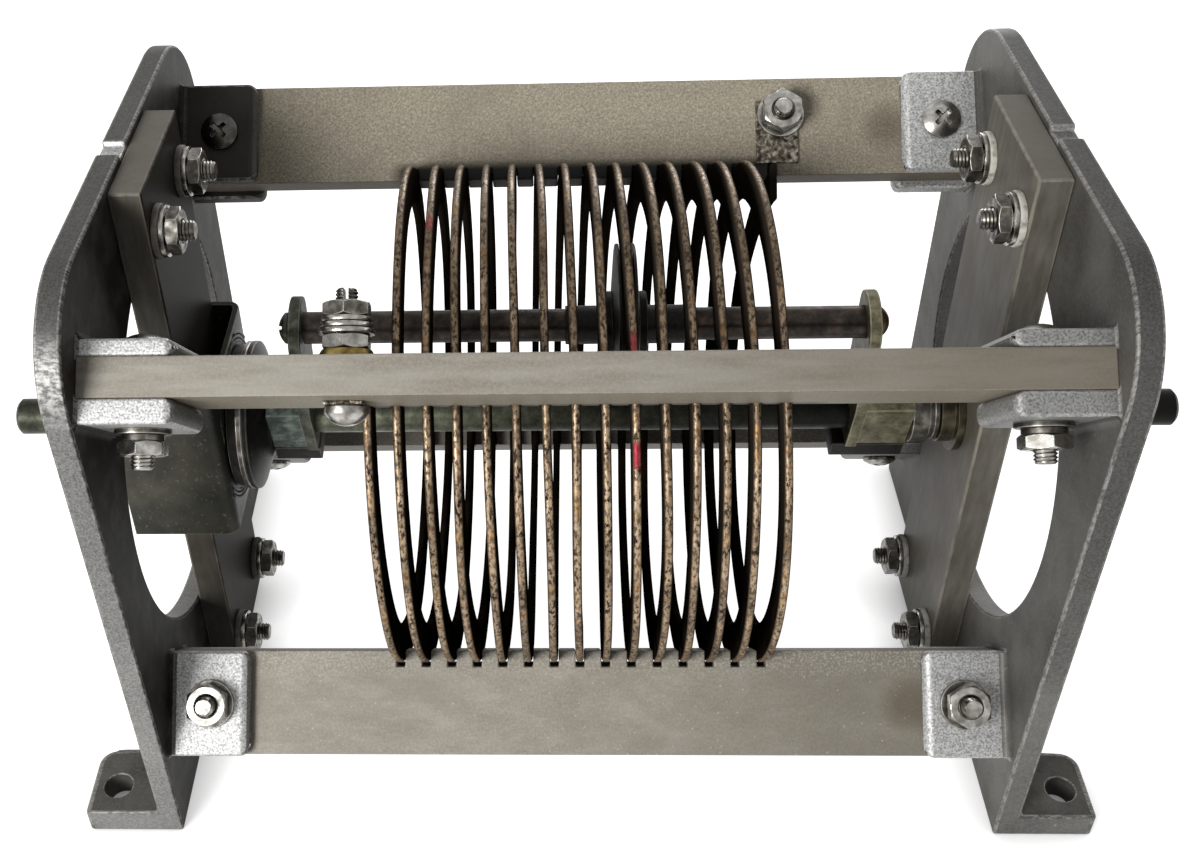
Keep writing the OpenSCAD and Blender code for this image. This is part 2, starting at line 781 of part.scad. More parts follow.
module clamp_bar(side, arm_out, inset, length) {
    on_rotor() mirror([side < 0 ? 1 : 0, 0, 0]) difference() {
        translate([arm_out - arm_t - inset, -clamp_base, -block_half_w])
            cube([arm_t + inset + length, clamp_t, 2 * block_half_w]);
        translate([arm_out + clamp_screw_out, cut - clamp_top, 0]) rotate([90, 0, 0])
            cylinder(r = small_screw_r + screw_play, h = clamp_t + 2 * cut);
    }
}

module clamp_bar_left() {
    color("#3a3833") clamp_bar(-1, arm_left_out, clamp_in_left, block_left_len);
}

module clamp_bar_right() {
    color("#3a3833") clamp_bar(1, arm_right_out, clamp_in_right, block_right_len);
}

module clamp_screws() {
    color("#2f2e2b") on_rotor() for (place = [-arm_left_out - clamp_screw_out, arm_right_out + clamp_screw_out])
        translate([place, -clamp_base, 0]) {
            rotate([90, 0, 0]) pan_head(small_head_r, small_head_h);
            rotate([-90, 0, 0]) cylinder(r = small_screw_r, h = clamp_base - shaft_r - clamp_gap);
        }
}

module contact_rod() {
    ball_r = (rod_r * rod_r + rod_end_h * rod_end_h) / (2 * rod_end_h);
    color("#4f4234") on_rotor() translate([0, rod_orbit, 0]) difference() {
        union() {
            along_x(-rod_left, rod_left + rod_right, rod_r);
            intersection() {
                along_x(rod_right, rod_end_h, rod_r);
                translate([rod_right + rod_end_h - ball_r, 0, 0]) sphere(r = ball_r);
            }
        }
        along_x(-rod_left - cut, cut + rod_screw_len + screw_play, small_screw_r + screw_play);
    }
}

module rod_screw() {
    color("#6a664c") on_rotor() translate([-rod_head, rod_orbit, 0]) {
        difference() {
            rotate([0, -90, 0]) pan_head(small_head_r, small_head_h);
            translate([-small_head_h - cut, -slot_w / 2, -small_head_r - cut])
                cube([slot_d + cut, slot_w, 2 * (small_head_r + cut)]);
        }
        along_x(0, rod_head - rod_left + rod_screw_len, small_screw_r);
    }
}

// Pressed rings and dished saucer beside the collector's web
module pressed_ring(near, far, radius) {
    in_frame() tube_x(-far, far - near, radius, shaft_r + clamp_gap);
}

module collector_ring() {
    color("#3a3730") pressed_ring(disc_2, disc_1, ring_r);
}

module collector_disc() {
    color("#85837a") pressed_ring(saucer_base, disc_2, saucer_r);
}

module collector_saucer() {
    outline = [
        [saucer_r, saucer_base],
        [saucer_r, saucer_base - saucer_wall],
        [saucer_neck_r, saucer_neck],
        [shaft_r + clamp_gap, saucer_neck],
        [shaft_r + clamp_gap, saucer_neck + saucer_wall],
        [saucer_neck_r - saucer_wall, saucer_neck + saucer_wall],
        [saucer_r - 2 * saucer_wall, saucer_base]
    ];
    color("#41453d") in_frame() rotate([0, -90, 0]) rotate_extrude() polygon(outline);
}

module thrust_collar() {
    color("#87807a") in_frame() tube_x(collar_face, collar_len, collar_r, shaft_r + clamp_gap);
}

module thrust_washers() {
    first = collar_face + collar_len;
    color("#7a736b") in_frame() for (i = [0, 1])
        tube_x(first + i * (thrust_t + stack_gap), thrust_t, thrust_r, shaft_r + running_gap);
}

// Grooved wheel on the sleeve that slides along the contact rod
module on_rod() {
    on_rotor() translate([wheel_x, rod_orbit, 0]) children();
}

module wheel_sleeve() {
    color("#2c2722") on_rod() tube_x(-sleeve_len / 2, sleeve_len, sleeve_r, sleeve_bore);
}

module contact_wheel() {
    bore = sleeve_r + running_gap;
    root = groove_half + flange_root_t;
    rim = groove_half + flange_rim_t;
    half = hub_len / 2;
    right_half = [
        [groove_r, groove_half],
        [flange_r, groove_half],
        [flange_r, rim],
        [hub_r, root],
        [hub_r, half],
        [bore, half]
    ];
    left_half = [for (i = [5:-1:0]) [right_half[i][0], -right_half[i][1]]];
    color("#1f1d1a") on_rod() rotate([0, 90, 0]) rotate_extrude() polygon(concat(right_half, left_half));
}

// Bolts that hold the bars in the lugs
module at_lug_bolts() {
    for (corner = corners, side = [-1, 1])
        in_corner(corner[0]) translate([side * lug_bolt_x, bar_r_mid, 0])
            mirror([0, 0, corner[1] > 0 ? 1 : 0]) {
                $nut_face = bar_t / 2 + corner[2];
                children();
            }
}

module bar_screws() {
    color("#c4c3bf") at_lug_bolts() translate([0, 0, -lug_face])
        screw(lug_face + $nut_face + washer_t + lock_t + nut_h + thread_end);
}

module bar_washers() {
    color("#d4d3cf") at_lug_bolts() translate([0, 0, $nut_face]) washer(washer_r, hole_r, washer_t);
}

module bar_lock_washers() {
    color("#9c9a95") at_lug_bolts() translate([0, 0, $nut_face + washer_t]) washer(lock_r, hole_r, lock_t);
}

module bar_nuts() {
    color("#d4d3cf") at_lug_bolts() translate([0, 0, $nut_face + washer_t + lock_t]) nut();
}

// Bolts that hold the strips to the plates, heads outside and nuts inside
module at_strip_bolts() {
    in_frame() for (side = [0, 1], bolt = strip_bolts)
        mirror([side, 0, 0]) translate([plate_out, bolt[0], bolt[1]]) rotate([0, -90, 0]) children();
}

module strip_screws() {
    reach = plate_t + strip_t + fibre_t + washer_t + nut_h + thread_end;
    color("#b3b1ab") at_strip_bolts() screw(reach);
}

module strip_fibre_washers() {
    color("#e6e3da") at_strip_bolts() translate([0, 0, plate_t + strip_t]) washer(fibre_r, hole_r, fibre_t);
}

module strip_washers() {
    color("#8b8983") at_strip_bolts() translate([0, 0, plate_t + strip_t + fibre_t])
        washer(washer_r, hole_r, washer_t);
}

module strip_nuts() {
    color("#7d7b76") at_strip_bolts() translate([0, 0, plate_t + strip_t + fibre_t + washer_t]) nut();
}

end_plate_left();
end_plate_right();
bar_upper_front();
bar_upper_back();
bar_lower_front();
bar_lower_back();
bearing_strip_left();
bearing_strip_right();
bush_left();
bush_right();
coil();
front_tab();
front_screw();
front_base_washer();
front_lower_nut();
front_washers();
front_upper_nut();
rear_screw();
rear_lug();
rear_washer();
rear_lock_washer();
rear_nut();
collector_bracket();
shaft();
arm_left();
arm_right();
hub_block_left();
hub_block_right();
clamp_bar_left();
clamp_bar_right();
clamp_screws();
contact_rod();
rod_screw();
collector_ring();
collector_disc();
collector_saucer();
thrust_collar();
thrust_washers();
wheel_sleeve();
contact_wheel();
bar_screws();
bar_washers();
bar_lock_washers();
bar_nuts();
strip_screws();
strip_fibre_washers();
strip_washers();
strip_nuts();
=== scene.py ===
import math

import bpy
from mathutils import Matrix, Vector


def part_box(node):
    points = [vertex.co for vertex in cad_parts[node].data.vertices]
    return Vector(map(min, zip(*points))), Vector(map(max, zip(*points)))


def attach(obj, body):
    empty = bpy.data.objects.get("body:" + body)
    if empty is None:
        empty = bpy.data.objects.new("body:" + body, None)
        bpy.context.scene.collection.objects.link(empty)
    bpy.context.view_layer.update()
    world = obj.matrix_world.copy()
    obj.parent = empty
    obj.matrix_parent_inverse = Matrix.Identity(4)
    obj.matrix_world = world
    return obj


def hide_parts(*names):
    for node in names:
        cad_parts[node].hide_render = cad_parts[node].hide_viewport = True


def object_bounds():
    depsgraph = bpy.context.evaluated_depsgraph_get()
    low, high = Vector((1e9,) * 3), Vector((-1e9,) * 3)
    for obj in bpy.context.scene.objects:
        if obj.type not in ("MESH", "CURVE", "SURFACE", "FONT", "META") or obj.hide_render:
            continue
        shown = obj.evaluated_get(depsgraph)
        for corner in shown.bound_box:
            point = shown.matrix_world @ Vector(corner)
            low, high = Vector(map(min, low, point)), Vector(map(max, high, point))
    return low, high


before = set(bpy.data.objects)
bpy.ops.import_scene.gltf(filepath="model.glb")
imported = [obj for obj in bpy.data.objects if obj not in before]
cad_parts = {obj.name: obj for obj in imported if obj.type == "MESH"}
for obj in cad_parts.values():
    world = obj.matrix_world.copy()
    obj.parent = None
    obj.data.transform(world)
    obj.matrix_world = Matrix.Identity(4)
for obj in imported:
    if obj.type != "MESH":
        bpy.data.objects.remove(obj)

cad_low, cad_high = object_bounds()

# End plates: two aluminium sand castings, each in one piece with its feet and its pairs of lugs.
# The cast skin is grey and grainy, the lugs' faces are sanded bright by hand, and the edges are
# rubbed paler. The left plate's inner side and the roots of its lugs are painted dark as shade, the
# left plate's upper back lugs are dark with oxide, the rim is painted darker towards the top as
# shade, and a painted highlight lies on the left plate's rim at the bend.
MM = 0.001
MID = -1.85 * MM
SHAFT_Z = 81.419 * MM
PLATE_INNER = 102 * MM
LUG_END = 82.1 * MM
LUG_CORNER = 2.2 * MM
LUG_FILLET = 1.8
FILLET_LONG = 24.6
LUG_FACE = 7.8
HEAVY_FACE = 9.5
BOLT_R = 72.3
LUGS = ((45, 180, HEAVY_FACE), (135, 0, HEAVY_FACE), (225, 180, LUG_FACE), (315, 0, LUG_FACE))
FOOT_T = 7.5 * MM
FOOT_REACH = 18.9 * MM
HOLE_X = 7.1 * MM
HOLE_Y = 8.2 * MM
NICK_Y = -1.6 * MM


def pick(*objects):
    bpy.ops.object.select_all(action="DESELECT")
    for item in objects:
        item.select_set(True)
    bpy.context.view_layer.objects.active = objects[0]


def open_mesh(merge=0.001):
    bpy.ops.object.mode_set(mode="EDIT")
    bpy.ops.mesh.select_all(action="SELECT")
    bpy.ops.mesh.remove_doubles(threshold=merge * MM)


def close_mesh():
    bpy.ops.mesh.select_all(action="SELECT")
    bpy.ops.mesh.normals_make_consistent(inside=False)
    bpy.ops.object.mode_set(mode="OBJECT")


def copied(model, name):
    piece = bpy.data.objects.new(name, model.data.copy())
    bpy.context.scene.collection.objects.link(piece)
    return piece


def cad_copy(node):
    piece = copied(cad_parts[node], node + "_finished")
    pick(piece)
    piece.data.materials.clear()
    bpy.ops.mesh.customdata_custom_splitnormals_clear()
    open_mesh(0.004)
    bpy.ops.mesh.dissolve_limited(angle_limit=math.radians(0.5))
    bpy.ops.object.mode_set(mode="OBJECT")
    return piece


def mark(piece, name, share):
    values = piece.data.attributes.new(name, "FLOAT", "FACE")
    for face, value in zip(piece.data.polygons, values.data):
        value.value = share(face)


def smooth_sides(piece, angle=40):
    pick(piece)
    bpy.ops.object.shade_smooth_by_angle(angle=math.radians(angle))
    flats = piece.modifiers.new("flat faces stay flat", "WEIGHTED_NORMAL")
    flats.keep_sharp = True
    bpy.ops.object.modifier_apply(modifier=flats.name)


def round_edges(piece, width, segments=2, angle=30, share=None):
    pick(piece)
    piece.data.materials.clear()
    piece.data.materials.append(None)
    piece.data.materials.append(None)
    bevel = piece.modifiers.new("rounded edges", "BEVEL")
    bevel.width = width * MM
    bevel.segments = segments
    bevel.limit_method = "WEIGHT" if share else "ANGLE"
    bevel.angle_limit = math.radians(angle)
    bevel.use_clamp_overlap = False
    bevel.loop_slide = False
    bevel.material = 1
    if share:
        bpy.ops.object.mode_set(mode="EDIT")
        bpy.ops.mesh.select_mode(type="EDGE")
        bpy.ops.mesh.select_all(action="DESELECT")
        bpy.ops.mesh.edges_select_sharp(sharpness=math.radians(angle))
        bpy.ops.object.mode_set(mode="OBJECT")
        points = piece.data.vertices
        weights = piece.data.attributes.new("bevel_weight_edge", "FLOAT", "EDGE")
        for edge, weight in zip(piece.data.edges, weights.data):
            weight.value = share(*(points[i].co for i in edge.vertices)) if edge.select else 0
        bpy.context.scene.tool_settings.mesh_select_mode = (True, False, False)
    bpy.ops.object.modifier_apply(modifier=bevel.name)
    mark(piece, "wear", lambda face: face.material_index)
    for face in piece.data.polygons:
        face.material_index = 0
    smooth_sides(piece)
    return piece


def bevel_edges(piece, wanted, width, segments):
    pick(piece)
    for items in (piece.data.polygons, piece.data.edges, piece.data.vertices):
        items.foreach_set("select", [False] * len(items))
    points = piece.data.vertices
    for edge in piece.data.edges:
        edge.select = wanted(*(points[i].co for i in edge.vertices))
    bpy.ops.object.mode_set(mode="EDIT")
    bpy.ops.mesh.select_mode(type="EDGE")
    bpy.ops.mesh.bevel(offset=width, segments=segments, affect="EDGES")
    bpy.ops.mesh.select_mode(type="VERT")
    bpy.ops.object.mode_set(mode="OBJECT")


def settle(piece, node, material, body="frame"):
    piece.name = node + "_finished"
    piece.data.materials.clear()
    piece.data.materials.append(material)
    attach(piece, body)
    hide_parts(node)


def colour(text):
    channels = [int(text[i:i + 2], 16) / 255 for i in (1, 3, 5)]
    return [c / 12.92 if c <= 0.04045 else ((c + 0.055) / 1.055) ** 2.4 for c in channels] + [1]


def wire(tree, node, links):
    for name, source in links.items():
        if isinstance(source, bpy.types.Node):
            source = next(socket for socket in source.outputs if socket.enabled)
        tree.links.new(source, node.inputs[name])


def add_node(tree, kind, settings=None, links=None):
    node = tree.nodes.new("ShaderNode" + kind)
    if kind == "Mix":
        node.data_type = "RGBA"
    for name, value in (settings or {}).items():
        if name == "stops":
            ramp = node.color_ramp.elements
            while len(ramp) < len(value):
                ramp.new(1)
            for element, (place, tint) in zip(ramp, value):
                element.position = place
                element.color = colour(tint)
        elif isinstance(name, int) or name in node.inputs:
            node.inputs[name].default_value = colour(value) if isinstance(value, str) else value
        else:
            setattr(node, name, value)
    wire(tree, node, links or {})
    return node


def start_material(name, **sockets):
    material = bpy.data.materials.new(name)
    material.use_nodes = True
    tree = material.node_tree
    shader = tree.nodes["Principled BSDF"]
    for socket, value in sockets.items():
        shader.inputs[socket.replace("_", " ")].default_value = value
    return material, tree, shader, add_node(tree, "TexCoord").outputs["Object"]


def covered(tree, tint, shade, share, *others):
    for other in others:
        share = add_node(tree, "Math", {"operation": "MULTIPLY"}, {0: share, 1: other})
    return add_node(tree, "Mix", {7: shade}, {0: share, 6: tint})


def layered(tree, tint, shade, source, low, high, most=1.0):
    share = add_node(tree, "MapRange", {1: low, 2: high, 4: most}, {0: source})
    return covered(tree, tint, shade, share)


def worn(tree, tint, shade, uneven):
    wear = add_node(tree, "Attribute", {"attribute_name": "wear"}).outputs["Fac"]
    return covered(tree, tint, shade, wear, uneven)


def distance_to(tree, place, spot):
    middle = [c * MM for c in spot]
    return add_node(tree, "VectorMath", {"operation": "DISTANCE", 1: middle}, {0: place}).outputs["Value"]


# Sand-cast aluminium: a dull grey skin with sand grain, stains and bright rubs, shiny where sanded.
casting, tree, shader, place = start_material("sand-cast aluminium", Specular_IOR_Level=0.1)
slanted = add_node(tree, "Mapping", {"Rotation": (0.5, 0.35, 0.8), "Scale": (1, 4, 1)}, {"Vector": place})
clouds, blotches, sand, grain, rubs = (
    add_node(tree, "TexNoise", {"Scale": 1 / (size * MM), "Detail": detail, "Roughness": rough},
             {"Vector": spot})
    for size, detail, rough, spot in ((22, 4, 0.5, place), (7, 5, 0.65, place), (0.8, 3, 0.6, place),
                                      (0.45, 2, 0.5, place), (1.8, 4, 0.7, slanted)))
stops = ((0.3, "#4e4c48"), (0.5, "#66645f"), (0.72, "#787671"))
skin = add_node(tree, "ValToRGB", {"stops": stops}, {"Fac": clouds})
skin = layered(tree, skin, "#49453e", blotches, 0.5, 0.78, 0.6)
skin = layered(tree, skin, "#96948e", sand, 0.45, 0.75, 0.22)
skin = layered(tree, skin, "#b5b4b0", rubs, 0.64, 0.74, 0.6)
height = add_node(tree, "SeparateXYZ", links={0: place}).outputs["Z"]
facing = add_node(tree, "SeparateXYZ", links={0: add_node(tree, "TexCoord").outputs["Normal"]})
sideways = add_node(tree, "Math", {"operation": "ABSOLUTE"}, {0: facing.outputs["X"]})
# Painted shade: the rim, the faces that do not look sideways, is darker towards the top.
rim = add_node(tree, "MapRange", {1: 0.75, 2: 0.4}, {0: sideways})
upper = add_node(tree, "MapRange", {1: 62 * MM, 2: 100 * MM, 4: 0.85}, {0: height})
skin = covered(tree, skin, "#35332f", rim, upper)
# Oxide and painted shade: real oxide on the left upper back lugs, the feet and the right plate, and painted
# shade on the left plate's inner side and the roots of its lugs.
oxide = add_node(tree, "Attribute", {"attribute_name": "oxide"}).outputs["Fac"]
uneven = add_node(tree, "MapRange", {1: 0.35, 2: 0.65, 3: 0.8, 4: 1.1}, {0: blotches})
oxide = add_node(tree, "Math", {"operation": "MULTIPLY", "use_clamp": True}, {0: oxide, 1: uneven})
skin = covered(tree, skin, "#191713", oxide)
dashes = add_node(tree, "MapRange", {1: 0.42, 2: 0.58, 3: 0.08, 4: 0.7}, {0: rubs})
skin = worn(tree, skin, "#a3a19c", dashes)
# Painted highlight: bright streaks on the left plate's rim at the bend beside the upper front lug.
reach = distance_to(tree, place, (-106.6, -65.6, 144))
streaks = add_node(tree, "MapRange", {1: 3 * MM, 2: 11 * MM, 3: 0.9, 4: 0.0}, {0: reach})
skin = covered(tree, skin, "#dddcd8", streaks, dashes, rim)
sanding = add_node(tree, "Attribute", {"attribute_name": "sanding"}).outputs["Fac"]
pebbles = add_node(tree, "Math", {"operation": "ADD"}, {0: sand, 1: rubs})
pebbles = add_node(tree, "Math", {"operation": "MULTIPLY", 1: 0.5}, {0: pebbles})
stops = ((0.34, "#8f8e8b"), (0.5, "#bababa"), (0.66, "#d6d6d3"))
filed = add_node(tree, "ValToRGB", {"stops": stops}, {"Fac": grain})
patchy = add_node(tree, "MapRange", {1: 0.38, 2: 0.56, 3: 0.88, 4: 1.05}, {0: pebbles})
bright = add_node(tree, "Math", {"operation": "MULTIPLY", "use_clamp": True}, {0: sanding, 1: patchy})
tint = add_node(tree, "Mix", links={0: bright, 6: skin, 7: filed})
metal = add_node(tree, "MapRange", {3: 0.35, 4: 0.7}, {0: bright})
bare = add_node(tree, "MapRange", {3: 1.0, 4: 0.1}, {0: oxide})
metal = add_node(tree, "Math", {"operation": "MULTIPLY"}, {0: metal, 1: bare})
sheen = add_node(tree, "MapRange", {3: 0.52, 4: 0.5}, {0: bright})
roughly = add_node(tree, "MapRange", {3: 0.3, 4: 0.85}, {0: bright})
relief = add_node(tree, "Bump", {"Distance": 0.14 * MM}, {"Height": pebbles, "Strength": roughly})
wire(tree, shader, {"Base Color": tint, "Metallic": metal, "Roughness": sheen, "Normal": relief})

LUG_SANDING = {
    ("left", "upper", "front"): 0.92, ("left", "upper", "back"): 0.0,
    ("left", "lower", "front"): 0.85, ("left", "lower", "back"): 0.4,
    ("right", "upper", "front"): 0.5, ("right", "upper", "back"): 1.0,
    ("right", "lower", "front"): 0.8, ("right", "lower", "back"): 0.4,
}


def across_bar(point):
    corner = math.atan2(point.z - SHAFT_Z, point.y)
    corner = math.radians(90 * math.floor(corner / math.radians(90)) + 45)
    return Vector((0, -math.sin(corner), math.cos(corner)))


def lug_corner(a, b):
    at_end = all(abs(abs(p.x - MID) - LUG_END) < 0.1 * MM for p in (a, b))
    return at_end and abs((b - a).normalized() @ across_bar((a + b) / 2)) > 0.98


def rim_or_foot(a, b):
    on_foot = all(abs(p.x - MID) > FOOT_START and 0.1 * MM < p.z < FOOT_T + 0.1 * MM for p in (a, b))
    at_end = all(abs(p.x - MID) > FOOT_END - 0.1 * MM for p in (a, b))
    middle = (a + b) / 2
    from_hole = math.hypot(abs(middle.x - MID) - FOOT_END + HOLE_X, abs(middle.y) - cad_high.y + HOLE_Y)
    if from_hole < 4.2 * MM:
        return 0.2
    return 1 if on_foot or (at_end and abs(a.z - b.z) > 0.9 * FOOT_T) else 0.4


def lug_place(face, sign):
    level = "upper" if face.center.z > SHAFT_Z else "lower"
    depth = "front" if face.center.y < 0 else "back"
    return level, depth, sign * (face.center.x - MID) < PLATE_INNER - 2 * MM


def drawn(profile):
    points = [Vector((r * MM, 0, z * MM)) for r, z in profile]
    bpy.ops.mesh.primitive_plane_add(size=MM)
    piece = bpy.context.object
    bpy.ops.object.mode_set(mode="EDIT")
    bpy.ops.mesh.select_all(action="SELECT")
    bpy.ops.mesh.merge(type="CENTER")
    bpy.ops.transform.translate(value=points[0])
    for start, end in zip(points, points[1:]):
        bpy.ops.mesh.extrude_region_move(TRANSFORM_OT_translate={"value": end - start})
    bpy.ops.object.mode_set(mode="OBJECT")
    return piece


def set_out(model, places):
    copies = []
    for spot in places:
        copies.append(copied(model, model.name))
        copies[-1].matrix_world = spot
    bpy.data.objects.remove(model)
    pick(*copies)
    bpy.ops.object.transform_apply()
    if len(copies) > 1:
        bpy.ops.object.join()
    return bpy.context.object


def on_shaft(x=0):
    return Matrix.Translation((MID + x * MM, 0, SHAFT_Z))


def moved(x=0, y=0, z=0):
    return Matrix.Translation((x * MM, y * MM, z * MM))


def rotated(angle, axis="X"):
    return Matrix.Rotation(math.radians(angle), 4, axis)


def joined(*pieces):
    pick(*pieces)
    bpy.ops.object.join()
    return bpy.context.object


arc = [math.radians(15 * i) for i in range(7)]
hollow = [(LUG_FILLET * (math.sin(a) - 1), LUG_FILLET * (1 - math.cos(a))) for a in arc]
fillet = drawn(hollow + [(0.4, LUG_FILLET), (0.4, -0.4), (-LUG_FILLET, -0.4), hollow[0]])
open_mesh()
bpy.ops.mesh.edge_face_add()
bpy.ops.transform.translate(value=(0, -FILLET_LONG / 2 * MM, 0))
bpy.ops.mesh.extrude_region_move(TRANSFORM_OT_translate={"value": (0, FILLET_LONG * MM, 0)})
close_mesh()
smooth_sides(fillet)

FOOT_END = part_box("end_plate_right")[1].x - MID
FOOT_START = FOOT_END - FOOT_REACH + 0.5 * MM
for side, sign in (("left", -1), ("right", 1)):
    plate = cad_copy("end_plate_" + side)
    bevel_edges(plate, lug_corner, LUG_CORNER, 4)
    round_edges(plate, 1.7, 3, 30, rim_or_foot)
    roots = []
    inward = rotated(180 if sign < 0 else 0, "Z")
    for angle, flip, nut_face in LUGS:
        corner = on_shaft(sign * PLATE_INNER / MM) @ rotated(angle) @ moved(y=BOLT_R) @ rotated(flip)
        roots.append(corner @ moved(z=nut_face) @ inward)
        roots.append(corner @ rotated(180) @ moved(z=LUG_FACE) @ inward)
    plate = joined(plate, set_out(copied(fillet, "fillet"), roots))

    def sanded(face):
        level, depth, on_lug = lug_place(face, sign)
        if on_lug:
            # Lug faces that look along +X, at the lugs' roots, are painted less bright as shade.
            return LUG_SANDING[side, level, depth] * (0.35 if face.normal.x > 0.6 else 1)
        if abs(face.normal.x) > 0.6:
            return 0.0
        in_nick = abs(face.center.y - NICK_Y) < 3 * MM and face.center.z > cad_high.z - 2 * MM
        if in_nick:
            return 0.95 if side == "left" else 0.35
        if face.center.z < 1.2 * FOOT_T:
            return 0.0
        return 0.3 if side == "left" and face.center.z < 60 * MM else 0.12

    # Share of oxide and painted shade on each face: the left plate's inner side and its lugs' roots are
    # painted shade, and the other values are oxide.
    def oxide_and_shade_share(face):
        level, depth, on_lug = lug_place(face, sign)
        if on_lug:
            dark = (side, level, depth) == ("left", "upper", "back")
            return 0.28 if dark else 0.75 if face.normal.x > 0.6 else 0.0
        if face.center.z < 1.2 * FOOT_T:
            return 0.2 if side == "left" else 0.45
        if side == "left":
            at_root = sign * (face.center.x - MID) < PLATE_INNER - 0.05 * MM
            return 1.0 if at_root or face.normal.x > 0.6 else 0.0
        return 0.15 if abs(face.normal.x) < 0.6 else 0.1

    mark(plate, "sanding", sanded)
    mark(plate, "oxide", oxide_and_shade_share)
    settle(plate, "end_plate_" + side, casting)
bpy.data.objects.remove(fillet)

# Coil bars: four sawn bars of glass-bonded mica, notched on the inner edge for the ribbon.
# Each lies between its lugs and is held by one bolt at each end.
# Glass-bonded mica: warm grey with fine pale flecks and painted glints on the sawn faces, smoother and
# paler edges. Painted shade makes the bars darker towards the right end, on their inner and downward
# faces, between the coil's turns, and in the dark strip under the ribbon in the lower notches.
mica, tree, shader, place = start_material("glass-bonded mica", Roughness=0.55, IOR=1.6,
                                           Specular_IOR_Level=0.15)


def from_shaft(tree, place):
    arm = add_node(tree, "VectorMath", {"operation": "SUBTRACT", 1: (0, 0, SHAFT_Z)}, {0: place})
    return add_node(tree, "VectorMath", {"operation": "MULTIPLY", 1: (0, 1, 1)}, {0: arm})


def outward(tree, place):
    arm = add_node(tree, "VectorMath", {"operation": "NORMALIZE"}, {0: from_shaft(tree, place)})
    normal = add_node(tree, "TexCoord").outputs["Normal"]
    return add_node(tree, "VectorMath", {"operation": "DOT_PRODUCT"}, {0: arm, 1: normal}).outputs["Value"]


along = add_node(tree, "Mapping", {"Scale": (0.12, 1, 1)}, {"Vector": place})
drifting = add_node(tree, "Mapping", {"Scale": (0.45, 1, 1)}, {"Vector": place})
fleck, clouds, streaks, flowing = (
    add_node(tree, "TexNoise", {"Scale": 1 / (size * MM), "Detail": detail, "Roughness": rough},
             {"Vector": spot})
    for size, detail, rough, spot in ((0.55, 2, 0.7, place), (26, 5, 0.6, place), (2.5, 4, 0.5, along),
                                      (5, 6, 0.7, drifting)))
fleck_glints = add_node(tree, "TexVoronoi", {"Scale": 1 / (2.2 * MM)}, {"Vector": place})
stops = ((0.32, "#968e7f"), (0.5, "#b2a997"), (0.68, "#cfc5ad"))
sawn = add_node(tree, "ValToRGB", {"stops": stops}, {"Fac": fleck})
sawn = layered(tree, sawn, "#8b8173", clouds, 0.48, 0.7, 0.5)
height = add_node(tree, "SeparateXYZ", links={0: place}).outputs["Z"]
greyer = add_node(tree, "MapRange", {1: SHAFT_Z - 5 * MM, 2: SHAFT_Z, 3: 0.65, 4: 0.0}, {0: height})
stops = ((0.34, "#928d84"), (0.5, "#9f9a91"), (0.66, "#afaba3"))
pressed = add_node(tree, "ValToRGB", {"stops": stops}, {"Fac": flowing})
sawn = add_node(tree, "Mix", links={0: greyer, 6: sawn, 7: pressed})
lengthwise = add_node(tree, "SeparateXYZ", links={0: place}).outputs["X"]
# Painted shade: the lower bars' faces are darker towards the right end.
shade_to_right_end = add_node(tree, "MapRange", {1: 5 * MM, 2: 60 * MM, 4: 0.75}, {0: lengthwise})
sawn = covered(tree, sawn, "#736e63", shade_to_right_end, greyer)
radius = add_node(tree, "VectorMath", {"operation": "LENGTH"}, {0: from_shaft(tree, place)}).outputs["Value"]
chips = add_node(tree, "MapRange", {1: 62 * MM, 2: 67 * MM, 3: 1.0, 4: 0.0}, {0: radius})
chipped = add_node(tree, "MapRange", {1: 0.5, 2: 0.62, 4: 0.8}, {0: fleck})
sawn = covered(tree, sawn, "#c9c4b8", chips, greyer, chipped)
# Pale mica flecks with painted glints.
sawn = layered(tree, sawn, "#d3cdbf", fleck_glints, 0.12, 0.05, 0.7)
stops = ((0.35, "#948d82"), (0.5, "#a09a8f"), (0.65, "#aba69b"))
edge = add_node(tree, "ValToRGB", {"stops": stops}, {"Fac": streaks})
edge = layered(tree, edge, "#bdb8ac", fleck, 0.4, 0.68, 0.35)
# Painted shade: the edges are darker towards the right end.
edge = layered(tree, edge, "#736a5d", lengthwise, 0, 75 * MM, 0.65)
facing = outward(tree, place)
on_edge = add_node(tree, "MapRange", {1: 0.4, 2: 0.8}, {0: facing})
tint = add_node(tree, "Mix", links={0: on_edge, 6: sawn, 7: edge})
# Painted shade between the coil's turns, along the upper bars' inner edge.
shade_between_turns = add_node(tree, "MapRange", {1: 62.5 * MM, 2: 65 * MM, 3: 1.0, 4: 0.0}, {0: radius})
across = add_node(tree, "Math", {"operation": "ABSOLUTE"}, {0: lengthwise})
coiled = add_node(tree, "MapRange", {1: 46 * MM, 2: 50 * MM, 3: 1.0, 4: 0.0}, {0: across})
at_top = add_node(tree, "Math", {"operation": "GREATER_THAN", 1: SHAFT_Z}, {0: height})
tint = covered(tree, tint, "#0f0d0b", shade_between_turns, coiled, at_top)
# Painted shade: faces turned in towards the shaft, and faces turned downward, are darker.
tint = layered(tree, tint, "#29261f", facing, -0.4, -0.8, 0.4)
upright = add_node(tree, "SeparateXYZ", links={0: add_node(tree, "TexCoord").outputs["Normal"]}).outputs["Z"]
tint = layered(tree, tint, "#5c5446", upright, -0.3, -0.65, 0.6)
for stain in ((77.2, -50.9, 30.5), (77.2, 50.9, 132.3)):
    reach = distance_to(tree, place, stain)
    ragged = add_node(tree, "Math", {"operation": "MULTIPLY_ADD", 1: 8 * MM}, {0: clouds, 2: reach})
    tint = layered(tree, tint, "#5b4d3c", ragged, 13 * MM, 9 * MM, 0.55)
